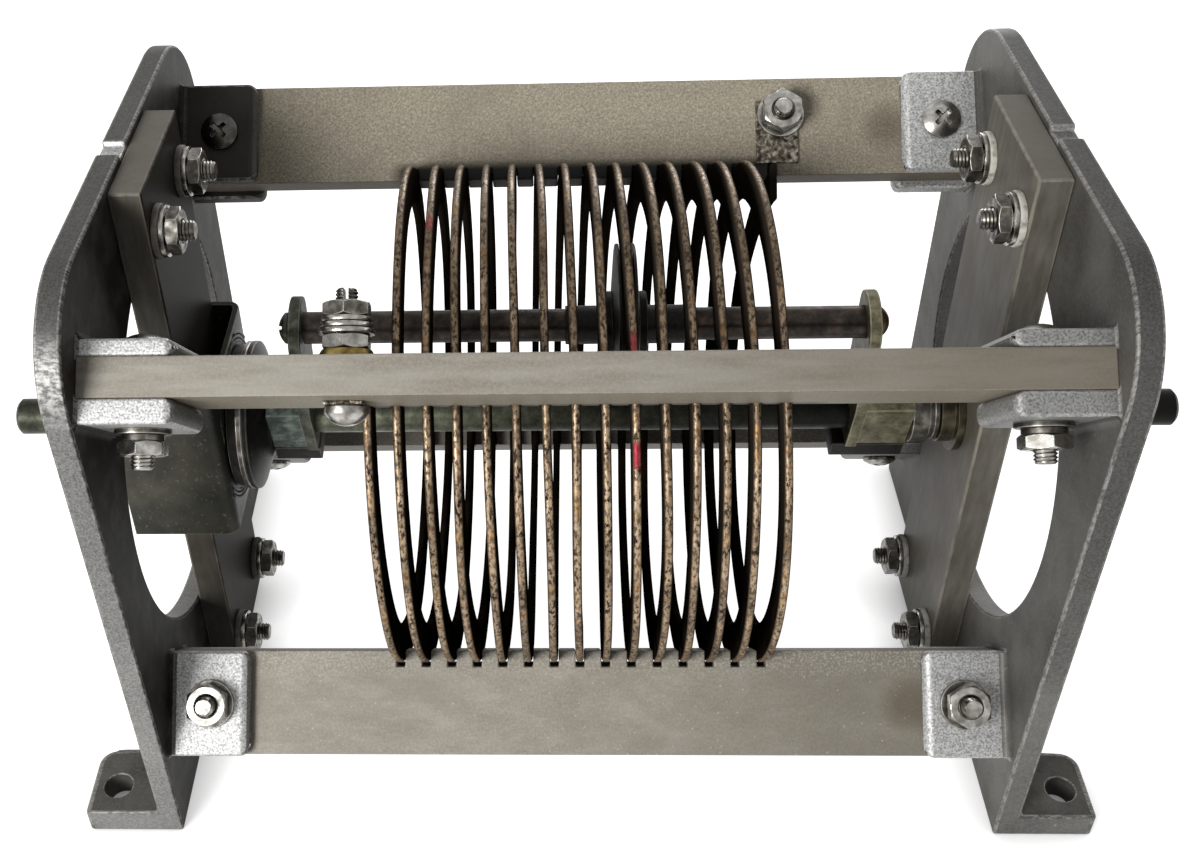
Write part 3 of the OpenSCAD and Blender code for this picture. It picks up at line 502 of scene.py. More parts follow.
# Painted shade: the dark strips in the lower notches.
grime = add_node(tree, "Attribute", {"attribute_name": "grime"}).outputs["Fac"]
tint = covered(tree, tint, "#0d0b09", grime)
relief = add_node(tree, "Bump", {"Strength": 0.5, "Distance": 0.04 * MM}, {"Height": fleck})
wire(tree, shader, {"Base Color": tint, "Normal": relief})


def placed(piece, spot):
    piece.matrix_world = spot
    pick(piece)
    bpy.ops.object.transform_apply()
    return piece


def block(low, high, turn=0, axis="Z"):
    bpy.ops.mesh.primitive_cube_add(size=1)
    piece = bpy.context.object
    piece.scale = [(b - a) * MM for a, b in zip(low, high)]
    piece.location = [(a + b) / 2 * MM for a, b in zip(low, high)]
    bpy.ops.object.transform_apply()
    return placed(piece, rotated(turn, axis))


for node, angle, far in (("bar_upper_front", 135, 0), ("bar_upper_back", 45, 0),
                         ("bar_lower_front", 225, 2.2), ("bar_lower_back", 315, -2.2)):
    bar = round_edges(cad_copy(node), 0.4)
    # In the lower bars a thin dark strip lies under the ribbon along the notches: painted shade, so the slots
    # look black.
    if far:
        shade_block = block((-47, 62.9, far - 1.6), (49, 63.9, far + 1.6), angle, "X")
        shade_block.data.transform(on_shaft())
        mark(shade_block, "grime", lambda face: 1)
        bar = joined(bar, shade_block)
    settle(bar, node, mica)

# Bearing strips: two sawn strips of insulating sheet across the plates' windows, drilled for
# a bush and bolted inside the plates with white fibre washers under the nuts.
# Laminated phenolic sheet: grey-brown, slightly shiny, with faint saw lines and rubbed edges; the left
# strip has painted shade on its inner side and towards the bottom.
phenolic, tree, shader, place = start_material("laminated phenolic sheet", Roughness=0.45, IOR=1.55)
down = add_node(tree, "Mapping", {"Scale": (1, 1, 0.2)}, {"Vector": place})
saw_lines, clouds = (
    add_node(tree, "TexNoise", {"Scale": 1 / (size * MM), "Detail": 5, "Roughness": rough}, {"Vector": spot})
    for size, rough, spot in ((2.2, 0.65, down), (16, 0.5, place)))
stops = ((0.3, "#5f5c54"), (0.5, "#6d6a62"), (0.7, "#7a766d"))
tint = add_node(tree, "ValToRGB", {"stops": stops}, {"Fac": saw_lines})
tint = layered(tree, tint, "#594f44", clouds, 0.45, 0.68, 0.7)
wear = add_node(tree, "Attribute", {"attribute_name": "wear"}).outputs["Fac"]
uneven = add_node(tree, "MapRange", {1: 0.35, 2: 0.6, 3: 0.1, 4: 0.7}, {0: saw_lines})
wear = add_node(tree, "Math", {"operation": "MULTIPLY"}, {0: wear, 1: uneven})
tint = covered(tree, tint, "#a39c8e", wear)
# Painted shade on the left strip: its inner side, and darker towards the bottom; less on worn edges.
oiled = add_node(tree, "Attribute", {"attribute_name": "oiled"}).outputs["Fac"]
spot = add_node(tree, "SeparateXYZ", links={0: place})
shade_low_at_left = add_node(tree, "MapRange", {1: 82 * MM, 2: 55 * MM, 4: 0.62}, {0: spot.outputs["Z"]})
at_left = add_node(tree, "Math", {"operation": "LESS_THAN", 1: 0.0}, {0: spot.outputs["X"]})
shade_low_at_left = add_node(tree, "Math", {"operation": "MULTIPLY"}, {0: shade_low_at_left, 1: at_left})
oiled = add_node(tree, "Math", {"operation": "MAXIMUM"}, {0: oiled, 1: shade_low_at_left})
oiled = add_node(tree, "Math", {"operation": "MULTIPLY_ADD", 1: -0.25}, {0: wear, 2: oiled})
upright = add_node(tree, "SeparateXYZ", links={0: add_node(tree, "TexCoord").outputs["Normal"]}).outputs["Z"]
tint = layered(tree, tint, "#949084", upright, 0.4, 0.8, 0.45)
tint = covered(tree, tint, "#171410", oiled)
relief = add_node(tree, "Bump", {"Strength": 0.4, "Distance": 0.04 * MM}, {"Height": saw_lines})
shine = add_node(tree, "MapRange", {3: 0.08, 4: 0.015}, {0: oiled})
wire(tree, shader, {"Base Color": tint, "Specular IOR Level": shine, "Normal": relief})
for side in ("left", "right"):
    strip = round_edges(cad_copy("bearing_strip_" + side), 0.6, 3)
    # The left strip's inner side is marked for painted shade.
    mark(strip, "oiled", lambda face: 0.9 if side == "left" and face.normal.x > 0.5 else 0)
    settle(strip, "bearing_strip_" + side, phenolic)

# Bushes: two flanged bushes turned from bearing bronze and pressed into the strips.
BUSH = ((4.81, 102), (7, 102), (7, 94.4), (10.4, 94.4), (10.4, 92.5), (8.2, 92.5), (8.2, 89.1), (4.81, 89.1))


def turned(profile, steps=64, closed=True, edge=0.0, axis="Z"):
    piece = drawn(list(profile) + [profile[0]] if closed else profile)
    open_mesh()
    bpy.ops.mesh.spin(steps=steps, angle=2 * math.pi, center=(0, 0, 0), axis=(0, 0, 1))
    open_mesh()
    close_mesh()
    if axis == "X":
        placed(piece, rotated(90, "Y"))
    if edge:
        round_edges(piece, edge)
    else:
        smooth_sides(piece)
    return piece


def patchy_material(name, size, stops, detail=4, rough=0.5, sheen=None, **sockets):
    material, tree, shader, place = start_material(name, **sockets)
    settings = {"Scale": 1 / (size * MM), "Detail": detail, "Roughness": rough}
    patches = add_node(tree, "TexNoise", settings, {"Vector": place})
    tint = add_node(tree, "ValToRGB", {"stops": stops}, {"Fac": patches})
    wire(tree, shader, {"Base Color": tint})
    if sheen:
        dull, shiny = sheen
        polish = add_node(tree, "MapRange", {1: 0.35, 2: 0.65, 3: dull, 4: shiny}, {0: patches})
        wire(tree, shader, {"Roughness": polish})
    return material, tree, shader, place, patches, tint


# Bearing bronze: dull yellow-brown with turning rings and dark tarnish.
stops = ((0.35, "#332f24"), (0.55, "#504b3a"), (0.72, "#706b57"))
bronze, tree, shader, place, patches, tint = patchy_material("bearing bronze", 4, stops, Metallic=0.85,
                                                             Roughness=0.42)
rings = add_node(tree, "Mapping", {"Scale": (1, 0.04, 0.04)}, {"Vector": place})
rings = add_node(tree, "TexNoise", {"Scale": 1 / (0.5 * MM), "Detail": 2}, {"Vector": rings})
relief = add_node(tree, "Bump", {"Strength": 0.5, "Distance": 0.05 * MM}, {"Height": rings})
wire(tree, shader, {"Normal": relief})
for side, turn in (("left", 180), ("right", 0)):
    bush = set_out(turned(BUSH, edge=0.25, axis="X"), [on_shaft() @ rotated(turn, "Z")])
    settle(bush, "bush_" + side, bronze)

# Coil: one aged copper ribbon wound edgewise, fourteen and three quarter turns, lying in the bars'
# notches. It starts under the front terminal and ends with a short bend to the rear terminal.
COIL_START = -46.53125
PITCH = 6.35
SWEEP = 5310
TAIL = 80
TAIL_BEND = 2.6
OVERRUN = 4.8125
RIBBON_T = 1.9
RIBBON_W = 9.5
COIL_R = 57.85
LENGTHS = 59
bpy.ops.mesh.primitive_plane_add(size=1)
ribbon = bpy.context.object
bpy.ops.object.mode_set(mode="EDIT")
bpy.ops.mesh.select_all(action="SELECT")
bpy.ops.transform.resize(value=(RIBBON_T * MM, RIBBON_W * MM, 1))
bpy.ops.transform.translate(value=(0, COIL_R * MM, 0))
bpy.ops.mesh.bevel(offset=0.88 * MM, segments=5, affect="VERTICES")
bpy.ops.mesh.delete(type="ONLY_FACE")
bpy.ops.object.mode_set(mode="OBJECT")
placed(ribbon, rotated(135))
winding = ribbon.modifiers.new("wound", "SCREW")
winding.axis = "X"
winding.angle = math.radians((SWEEP + OVERRUN) / LENGTHS)
winding.screw_offset = PITCH * MM * (SWEEP + OVERRUN) / LENGTHS / 360
winding.iterations = LENGTHS
winding.steps = winding.render_steps = 24
winding.use_normal_calculate = True
bpy.ops.object.modifier_apply(modifier=winding.name)
open_mesh()
bpy.ops.mesh.fill_holes(sides=0)
close_mesh()
for point in ribbon.data.vertices:
    x, y, z = point.co / MM
    angle = math.degrees(math.atan2(z, y)) - 135
    wound = angle + 360 * round((x / PITCH * 360 - angle) / 360)
    tail = max(0, min(1, (wound - SWEEP + TAIL) / TAIL))
    between_bars = math.sin(math.radians(2 * wound)) ** 2
    sway = 0.24 * math.sin(wound / 47) + 0.2 * math.sin(wound / 113 + 1.3)
    held = max(0, min(1, wound / 90, (SWEEP - wound) / 90))
    x += COIL_START + TAIL_BEND * tail * tail * (3 - 2 * tail) + between_bars * sway * held
    point.co = Vector((MID + x * MM, y * MM, SHAFT_Z + z * MM))
smooth_sides(ribbon, 50)
# Aged copper: brown-black oxide all over, rubbed tan along the outer edge with dark pits, with three
# small marks of red paint, and grey solder on the end. The outer edge is painted darker towards the
# top as shade.
copper, tree, shader, place = start_material("aged copper ribbon")
arm = add_node(tree, "VectorMath", {"operation": "SUBTRACT", 1: (0, 0, SHAFT_Z)}, {0: place})
arm = add_node(tree, "SeparateXYZ", links={0: arm})
turn = add_node(tree, "Math", {"operation": "ARCTAN2"}, {0: arm.outputs["Y"], 1: arm.outputs["Z"]})
drawn_out = add_node(tree, "Math", {"operation": "MULTIPLY", 1: 0.5 * COIL_R * MM}, {0: turn})
along = add_node(tree, "CombineXYZ", links={0: arm.outputs["X"], 1: drawn_out})
pits, patches, warm = (
    add_node(tree, "TexNoise", {"Scale": 1 / (size * MM), "Detail": detail, "Roughness": rough},
             {"Vector": spot})
    for size, detail, rough, spot in ((0.75, 3, 0.7, along), (11, 4, 0.5, place), (5, 4, 0.5, place)))
sides, rubbed = (
    add_node(tree, "ValToRGB", {"stops": stops}, {"Fac": patches})
    for stops in (((0.35, "#0b0907"), (0.55, "#16120e"), (0.72, "#271f18")),
                  ((0.36, "#7c6b58"), (0.5, "#9d8870"), (0.66, "#b9a287"))))
rubbed = layered(tree, rubbed, "#a9814f", warm, 0.56, 0.7, 0.6)
pitted = add_node(tree, "MapRange", {1: 0.53, 2: 0.44}, {0: pits})
clusters = add_node(tree, "MapRange", {1: 0.4, 2: 0.6, 3: 1.0, 4: 0.6}, {0: warm})
rubbed = covered(tree, rubbed, "#241e18", pitted, clusters)
rubbed = layered(tree, rubbed, "#cdbfa9", pits, 0.62, 0.7, 0.6)
height = add_node(tree, "SeparateXYZ", links={0: place}).outputs["Z"]
# Painted shade: the rubbed outer edge is darker towards the top.
rubbed = layered(tree, rubbed, "#3a3128", height, 108 * MM, 142 * MM, 0.5)
facing = outward(tree, place)
sides = layered(tree, sides, "#453e36", height, 80 * MM, 130 * MM, 0.65)
sides = layered(tree, sides, "#4a3e33", facing, 0.1, 0.45)
on_edge = add_node(tree, "MapRange", {1: 0.4, 2: 0.85}, {0: facing})
tint = add_node(tree, "Mix", links={0: on_edge, 6: sides, 7: rubbed})
for spot, most in (((9.2, -37.9, 131.3), 0.7), ((8.5, -53.5, 113.9), 0.9), ((-37.2, -7.6, 143.6), 0.5)):
    reach = distance_to(tree, place, spot)
    share = add_node(tree, "MapRange", {1: 2 * MM, 2: 3.4 * MM, 3: most, 4: 0.0}, {0: reach})
    tint = covered(tree, tint, "#93303c", share, on_edge)
reach = distance_to(tree, place, (47.9, 45, 126.5))
tint = layered(tree, tint, "#77736b", reach, 7 * MM, 3 * MM, 0.8)
sheen = add_node(tree, "MapRange", {1: 0.35, 2: 0.65, 3: 0.55, 4: 0.36}, {0: pits})
metal = add_node(tree, "MapRange", {4: 0.6}, {0: on_edge})
shine = add_node(tree, "MapRange", {4: 0.04}, {0: on_edge})
relief = add_node(tree, "Bump", {"Strength": 0.7, "Distance": 0.08 * MM}, {"Height": pits})
wire(tree, shader, {"Base Color": tint, "Roughness": sheen, "Metallic": metal, "Specular IOR Level": shine,
                    "Normal": relief})
settle(ribbon, "coil", copper)

# Bolts of the bars: a cross-head screw, washer, spring washer and nut through each pair of lugs.
# All are nickel-plated steel. The screws' heads lie on the upper faces of the upper bars and on the
# lower faces of the lower ones, and the left upper back head has gone dark.
HEAD_R = 4.7
HEAD_H = 2.7
SCREW_R = 2.4
NUT_H = 3.1
NUT_ACROSS = 9.5
THREAD_PITCH = 0.8
BOLT_X = 91.6
WASHER_BORE = 2.55
WASHER_R = 5.9
WASHER_T = 1.2
SPRING_T = 1.3


def dome(radius, height):
    ball = (radius ** 2 + (0.6 * height) ** 2) / (1.2 * height)
    lean = [math.asin(radius / ball) * (1 - i / 8) for i in range(9)]
    arc = [(ball * math.sin(a), height - ball + ball * math.cos(a)) for a in lean]
    return [(0, 0), (radius - 0.3, 0), (radius, 0.35)] + arc


def cut(piece, tool, operation="DIFFERENCE"):
    pick(piece)
    boolean = piece.modifiers.new("cut", "BOOLEAN")
    boolean.operation = operation
    boolean.object = tool
    bpy.ops.object.modifier_apply(modifier=boolean.name)
    bpy.data.objects.remove(tool)


def thread(low, high):
    root = SCREW_R - 0.36
    tooth = ((root, 0), (SCREW_R, 0.4), (SCREW_R, 0.5), (root, 0.9), (root, 1))
    piece = drawn([(r, z * THREAD_PITCH) for r, z in tooth])
    winding = piece.modifiers.new("thread", "SCREW")
    winding.axis = "Z"
    winding.angle = 2 * math.pi
    winding.screw_offset = THREAD_PITCH * MM
    winding.iterations = int((high - low) / THREAD_PITCH) + 3
    winding.steps = winding.render_steps = 20
    bpy.ops.object.modifier_apply(modifier=winding.name)
    piece.location.z = (low - 1.53 * THREAD_PITCH) * MM
    bpy.ops.object.transform_apply()
    open_mesh()
    bpy.ops.mesh.bisect(plane_co=(0, 0, low * MM), plane_no=(0, 0, 1), clear_inner=True)
    bpy.ops.mesh.select_all(action="SELECT")
    bpy.ops.mesh.bisect(plane_co=(0, 0, high * MM), plane_no=(0, 0, 1), clear_outer=True)
    bpy.ops.mesh.select_all(action="SELECT")
    bpy.ops.mesh.fill_holes(sides=0)
    close_mesh()
    cone = [(0, low - 1), (SCREW_R + 1, low - 1), (SCREW_R + 1, high - 1.6), (SCREW_R - 0.6, high + 0.05),
            (0, high + 0.05)]
    cut(piece, turned(cone, 32, False), "INTERSECT")
    smooth_sides(piece)
    return piece


def screw(length, threaded=4.5):
    head = turned(dome(HEAD_R, HEAD_H), 48, False)
    for turn in (45, 135):
        cut(head, block((-2.3, -0.5, 1.3), (2.3, 0.5, 4), turn))
    smooth_sides(head)
    placed(head, rotated(180))
    shank_r = SCREW_R - 0.4
    shank = turned([(0, -0.2), (shank_r, -0.2), (shank_r, length - 1), (0, length - 1)], 24, False)
    return joined(head, shank, thread(length - threaded, length))


def hex_nut():
    corner_r = NUT_ACROSS / math.sqrt(3) * MM
    bpy.ops.mesh.primitive_cylinder_add(vertices=6, radius=corner_r, depth=2 * NUT_H * MM)
    nut = bpy.context.object
    chamfer = [(0, 0), (4.65, 0), (5.7, 0.6), (5.7, NUT_H - 0.6), (4.65, NUT_H), (0, NUT_H)]
    cut(nut, turned(chamfer, 48, False), "INTERSECT")
    bore = [(0, -1), (3.2, -1), (3.2, -0.2), (2.43, 0.5), (2.43, NUT_H - 0.5), (3.2, NUT_H + 0.2),
            (3.2, NUT_H + 1), (0, NUT_H + 1)]
    cut(nut, turned(bore, 32, False))
    open_mesh(0.03)
    bpy.ops.mesh.dissolve_limited(angle_limit=math.radians(1))
    bpy.ops.object.mode_set(mode="OBJECT")
    return round_edges(nut, 0.12, 2, 25)


def ring(outer, thickness, edge=0.0):
    profile = [(WASHER_BORE, 0), (outer, 0), (outer, thickness), (WASHER_BORE, thickness)]
    return turned(profile, 48, True, edge)


def washer():
    return ring(WASHER_R, WASHER_T, 0.25)


def spring_washer():
    split = ring(4.5, SPRING_T)
    cut(split, block((2, -0.35, -1), (6, 0.35, 3), 25, "X"))
    return round_edges(split, 0.15)


# Nickel plate: bright grey, a little yellow, with duller patches of handling and dark tarnish.
stops = ((0.36, "#74716b"), (0.54, "#9b9993"), (0.7, "#bab8b2"))
nickel, tree, shader, place, patches, tint = patchy_material("nickel plate", 2.4, stops, sheen=(0.36, 0.2),
                                                             Metallic=1.0)
scuffs = add_node(tree, "TexNoise", {"Scale": 1 / (0.4 * MM), "Detail": 2}, {"Vector": place})
tarnish = add_node(tree, "Attribute", {"attribute_name": "tarnish"}).outputs["Fac"]
tint = covered(tree, tint, "#25221e", tarnish)
relief = add_node(tree, "Bump", {"Strength": 0.4, "Distance": 0.02 * MM}, {"Height": scuffs})
wire(tree, shader, {"Base Color": tint, "Normal": relief})

# Dull steel: grey-brown plate that has gone matt, darker in its hollows, bright on rubbed edges.
stops = ((0.35, "#3e3b36"), (0.53, "#625f59"), (0.7, "#85817a"))
steel, tree, shader, place, patches, tint = patchy_material("dull plated steel", 2.2, stops,
                                                            sheen=(0.45, 0.28), Metallic=1.0)
wire(tree, shader, {"Base Color": worn(tree, tint, "#b9b6af", patches)})

bolts = []
for angle, flip, nut_face in LUGS:
    for x in (-BOLT_X, BOLT_X):
        bolts.append((on_shaft(x) @ rotated(angle) @ moved(y=BOLT_R) @ rotated(flip), nut_face))

heavy = [spot @ moved(z=-LUG_FACE) for spot, face in bolts if face > LUG_FACE]
light = [spot @ moved(z=-LUG_FACE) for spot, face in bolts if face == LUG_FACE]
screws = joined(set_out(screw(LUG_FACE + 17.9), heavy), set_out(screw(LUG_FACE + 16.2), light))


def gone_dark(face):
    return 0.85 if face.center.x < 0 < face.center.y and face.center.z > SHAFT_Z else 0


mark(screws, "tarnish", gone_dark)
settle(screws, "bar_screws", nickel)
on_face = [spot @ moved(z=face) for spot, face in bolts]
settle(set_out(washer(), on_face), "bar_washers", steel)
on_washer = [spot @ moved(z=WASHER_T) for spot in on_face]
settle(set_out(spring_washer(), on_washer), "bar_lock_washers", steel)
on_spring = [spot @ moved(z=SPRING_T) for spot in on_washer]
settle(set_out(hex_nut(), on_spring), "bar_nuts", nickel)

# Bolts of the strips: heads outside the plates, and inside a fibre washer, a steel washer and a nut
# on each. Four hold each strip.
STRIP_FACE = 13.1
FIBRE_T = 1.5
PLATE_OUTER = 107.5
strip_bolts = []
for x, turn in ((PLATE_OUTER, -90), (-PLATE_OUTER, 90)):
    for y, z in ((-13, 64.219), (13, 64.219), (-14.25, -66.919), (14.25, -66.919)):
        strip_bolts.append(on_shaft(x) @ moved(0, y, z) @ rotated(turn, "Y"))
settle(set_out(screw(STRIP_FACE + 8.6), strip_bolts), "strip_screws", steel)
on_pad = [spot @ moved(z=STRIP_FACE + FIBRE_T) for spot in strip_bolts]
settle(set_out(washer(), on_pad), "strip_washers", nickel)
on_washer = [spot @ moved(z=WASHER_T) for spot in on_pad]
settle(set_out(hex_nut(), on_washer), "strip_nuts", steel)
# Vulcanised fibre: off-white, soft and matt, with grubby specks, and brown with painted shade at the left.
stops = ((0.34, "#a09a8c"), (0.5, "#d6d3c9"), (0.7, "#e6e4dd"))
fibre, tree, shader, place, patches, tint = patchy_material("vulcanised fibre", 1.8, stops, Roughness=0.7)
oiled = add_node(tree, "Attribute", {"attribute_name": "oiled"}).outputs["Fac"]
wire(tree, shader, {"Base Color": covered(tree, tint, "#4f4a41", oiled)})
pads = set_out(ring(6.2, FIBRE_T, 0.35), [spot @ moved(z=STRIP_FACE) for spot in strip_bolts])
mark(pads, "oiled", lambda face: 0.8 if face.center.x < 0 else 0)
settle(pads, "strip_fibre_washers", fibre)

# Front terminal: a round-head screw from below through a tinned tab and the upper front bar. Above
# the bar come a brass base washer, a nut, three loose washers for a lead, and a second nut.
FRONT_X = -49.33125
FRONT_R = 72.4
front = on_shaft(FRONT_X) @ rotated(135) @ moved(y=FRONT_R) @ rotated(180)
head = placed(turned(dome(HEAD_R, 4.2), 48, False), moved(z=-5) @ rotated(180))
stud = thread(9, 19.4)
cut(stud, block((-0.55, -4, 17), (0.55, 4, 21)))
smooth_sides(stud)
shank = turned([(0, -5.2), (2, -5.2), (2, 15), (0, 15)], 24, False)
post = set_out(joined(head, shank, stud), [front])
along_post = front.inverted()
mark(post, "tarnish", lambda face: 0.7 if (along_post @ face.center).z > 16.4 * MM else 0)
settle(post, "front_screw", nickel)
# Brass: yellow, dulled to brown in patches.
stops = ((0.35, "#4a3d24"), (0.52, "#7b683b"), (0.7, "#a8935c"))
brass = patchy_material("turned brass", 3, stops, Metallic=1.0, Roughness=0.34)[0]
base = [(WASHER_BORE, 4.2), (5.9, 4.2), (5.9, 5.3), (5.2, 6.6), (WASHER_BORE, 6.6)]
settle(set_out(turned(base, 48, True, 0.2), [front]), "front_base_washer", brass)
settle(set_out(hex_nut(), [front @ moved(z=6.6)]), "front_lower_nut", nickel)
loose = [set_out(ring(WASHER_R - 0.25 * i, WASHER_T, 0.4), [front @ moved(z=9.7 + 1.25 * i)])
         for i in range(3)]
settle(joined(*loose), "front_washers", nickel)
settle(set_out(hex_nut(), [front @ moved(z=13.4)]), "front_upper_nut", steel)
# Tinned brass: pale grey solder over brown metal, lumpy and half matt.
stops = ((0.36, "#2b261f"), (0.5, "#5d564b"), (0.64, "#979186"))
tinned, tree, shader, place, lumps, tint = patchy_material("tinned brass", 1.2, stops, sheen=(0.55, 0.3),
                                                           Metallic=0.85)
relief = add_node(tree, "Bump", {"Strength": 1.0, "Distance": 0.5 * MM}, {"Height": lumps})
wire(tree, shader, {"Normal": relief})
settle(round_edges(cad_copy("front_tab"), 0.2), "front_tab", tinned)

# Rear terminal: the coil's tail is soldered to a lug on the upper back bar. A screw from below
# holds the lug with a washer, a spring washer and a nut.
REAR_X = 51.93125
REAR_R = 75.1
REAR_FACE = 5
rear = on_shaft(REAR_X) @ rotated(45) @ moved(y=REAR_R)
settle(set_out(screw(17, 8), [rear @ moved(z=-4.2)]), "rear_screw", nickel)
on_lug = rear @ moved(z=REAR_FACE)
settle(set_out(washer(), [on_lug]), "rear_washer", nickel)
on_washer = on_lug @ moved(z=WASHER_T)
settle(set_out(spring_washer(), [on_washer]), "rear_lock_washer", steel)
settle(set_out(hex_nut(), [on_washer @ moved(z=SPRING_T)]), "rear_nut", nickel)
settle(round_edges(cad_copy("rear_lug"), 0.2), "rear_lug", tinned)

# Collector bracket: a dark sheet bent round the left strip. Its web has pressed rings round the
# shaft, and its legs lie along the strip's sides.
# Blackened sheet brass: olive-black oxide with lighter rubs and pale green specks.
stops = ((0.35, "#23231e"), (0.52, "#36352e"), (0.7, "#47453a"))
dark_sheet, tree, shader, place, clouds, tint = patchy_material("blackened sheet brass", 12, stops, 5, 0.5,
                                                                (0.5, 0.36), Metallic=0.4,
                                                                Specular_IOR_Level=0.25)
settings = {"Scale": 1 / (1.3 * MM), "Detail": 4, "Roughness": 0.75}
grains = add_node(tree, "TexNoise", settings, {"Vector": place})
tint = layered(tree, tint, "#858b7f", grains, 0.6, 0.72, 0.55)
tint = worn(tree, tint, "#8a897b", clouds)
relief = add_node(tree, "Bump", {"Strength": 0.4, "Distance": 0.06 * MM}, {"Height": grains})
wire(tree, shader, {"Base Color": tint, "Normal": relief})
bracket = round_edges(cad_copy("collector_bracket"), 0.3)
web = (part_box("collector_bracket")[1].x - MID) / MM
ridge = ((0, 0), (0.25, 0.2), (0.5, 0.2), (0.75, 0))
ridges = [(18.8 + 1.1 * i + step, web + rise) for i in range(3) for step, rise in ridge]
rings = turned([(18.8, web - 0.2)] + ridges + [(21.75, web - 0.2)], 96, True, 0, "X")
cut(rings, block((web - 1, -18, -30), (web + 1, 18, 20)), "INTERSECT")
smooth_sides(rings)
settle(joined(bracket, set_out(rings, [on_shaft()])), "collector_bracket", dark_sheet)

# Shaft: a turned steel rod of 3/8 inch through both bushes, with eased plain ends for a knob and
# a coupler.
SHAFT_R = 4.76
END_R = 4.6
SHAFT = [(0, -144.2), (END_R - 0.8, -144.2), (END_R, -143.4), (END_R, -PLATE_OUTER), (SHAFT_R, -PLATE_OUTER),
         (SHAFT_R, PLATE_OUTER), (END_R, PLATE_OUTER), (END_R, 147.1), (END_R - 0.8, 147.9), (0, 147.9)]
# Steel: mottled olive-grey, with painted shade that turns it black towards the right end and darker
# across the middle, and a little darker at the left end.
stops = ((0.36, "#3a3b31"), (0.52, "#57594b"), (0.68, "#757766"))
shaft_steel, tree, shader, place, clouds, tint = patchy_material("steel with painted shade", 4, stops, 7, 0.75,
                                                                 (0.45, 0.32), Specular_IOR_Level=0.1)
stretched = add_node(tree, "Mapping", {"Scale": (1, 0.05, 0.05)}, {"Vector": place})
lathe = add_node(tree, "TexNoise", {"Scale": 1 / (0.7 * MM), "Detail": 3}, {"Vector": stretched})
tint = layered(tree, tint, "#767263", lathe, 0.5, 0.75, 0.12)
lengthwise = add_node(tree, "SeparateXYZ", links={0: place}).outputs["X"]
# Painted shade: black towards the right end, where the right plate shades the shaft, and darker across the
# middle towards the right; the left end is a little darker.
painted_shade_and_left_end, shade_towards_right, handled = (
    add_node(tree, "MapRange", {1: start * MM, 2: end * MM, 4: most}, {0: lengthwise})
    for start, end, most in ((104, 110, 0.97), (-45, 55, 0.88), (-104, -110, 0.45)))
for share in (shade_towards_right, handled):
    painted_shade_and_left_end = add_node(tree, "Math", {"operation": "MAXIMUM"}, {0: painted_shade_and_left_end, 1: share})
tint = covered(tree, tint, "#0b0a08", painted_shade_and_left_end)
bare = add_node(tree, "MapRange", {3: 0.85, 4: 0.0}, {0: painted_shade_and_left_end})
wire(tree, shader, {"Base Color": tint, "Metallic": bare})
settle(set_out(turned(SHAFT, 48, False, 0, "X"), [on_shaft()]), "shaft", shaft_steel, "rotor")

# Arms: two brass straps with round ends, clamped on the shaft between a bored block and a clamp bar
# with one screw each. They lean in a little and carry the contact rod between them.
# Each metal differs only in its two ends of tarnish, its rubbed edges and its share of bare metal.
finishes = {}
for name, bare, stops, rubbed in (
        ("tarnished brass", 0.3, ((0.34, "#33342c"), (0.52, "#55574b"), (0.7, "#7b7d6f")), "#86887a"),
        ("brass with green patina", 0.4, ((0.34, "#39413b"), (0.5, "#5f6a61"), (0.68, "#97a398")), "#9aa398"),
        ("dull yellow brass", 0.5, ((0.35, "#5a563f"), (0.53, "#858068"), (0.7, "#aaa58b")), "#bcb89f"),
        ("blackened steel", 0.2, ((0.35, "#141210"), (0.55, "#272420"), (0.72, "#433f39")), "#8a867d")):
    material, tree, shader, place, clouds, tint = patchy_material(name, 3.6, stops, 6, 0.68, Metallic=bare,
                                                                  Roughness=0.42, Specular_IOR_Level=0.12)
    grains = add_node(tree, "TexNoise", {"Scale": 1 / (0.8 * MM), "Detail": 3}, {"Vector": place})
    relief = add_node(tree, "Bump", {"Strength": 0.5, "Distance": 0.06 * MM}, {"Height": grains})
    wire(tree, shader, {"Base Color": worn(tree, tint, rubbed, clouds), "Normal": relief})
    finishes[name] = material
black_steel = finishes["blackened steel"]

# The right arm takes the paler dull yellow brass: painted light, lighter than the left arm's to make up for
# the shade it lies in.
for node, slot, finish in (("arm_left", "olive_brass", "tarnished brass"),
                           ("arm_right", "olive_brass", "dull yellow brass"),
                           ("hub_block_left", "green_brass", "brass with green patina"),
                           ("hub_block_right", "olive_brass", "dull yellow brass"),
                           ("clamp_bar_left", "gun_steel", "blackened steel"),
                           ("clamp_bar_right", "gun_steel", "blackened steel")):
    settle(round_edges(cad_copy(node), 0.4), node, finishes[finish], "rotor")
rotor = on_shaft() @ rotated(107)


def slotted_screw(length):
    head = turned(dome(3.7, HEAD_H), 40, False)
    cut(head, block((-5, -0.5, 1.5), (5, 0.5, 4)))
    smooth_sides(head)
    return joined(head, turned([(0, -length), (1.9, -length), (1.9, 0.3), (0, 0.3)], 24, False))


below_bar = moved(y=-11.5) @ rotated(90)
clamps = [rotor @ moved(x) @ below_bar for x in (-73.6, 73.75)]
settle(set_out(slotted_screw(6.7), clamps), "clamp_screws", black_steel, "rotor")

# Contact rod: a turned brass rod between the arms, its round end through the right arm, and held at
# the left by a slotted screw. The carriage slides along it.
ROD_R = 3.8
NOSE = 2.5
ROD_OUT = 37
SLOT_TURN = 58
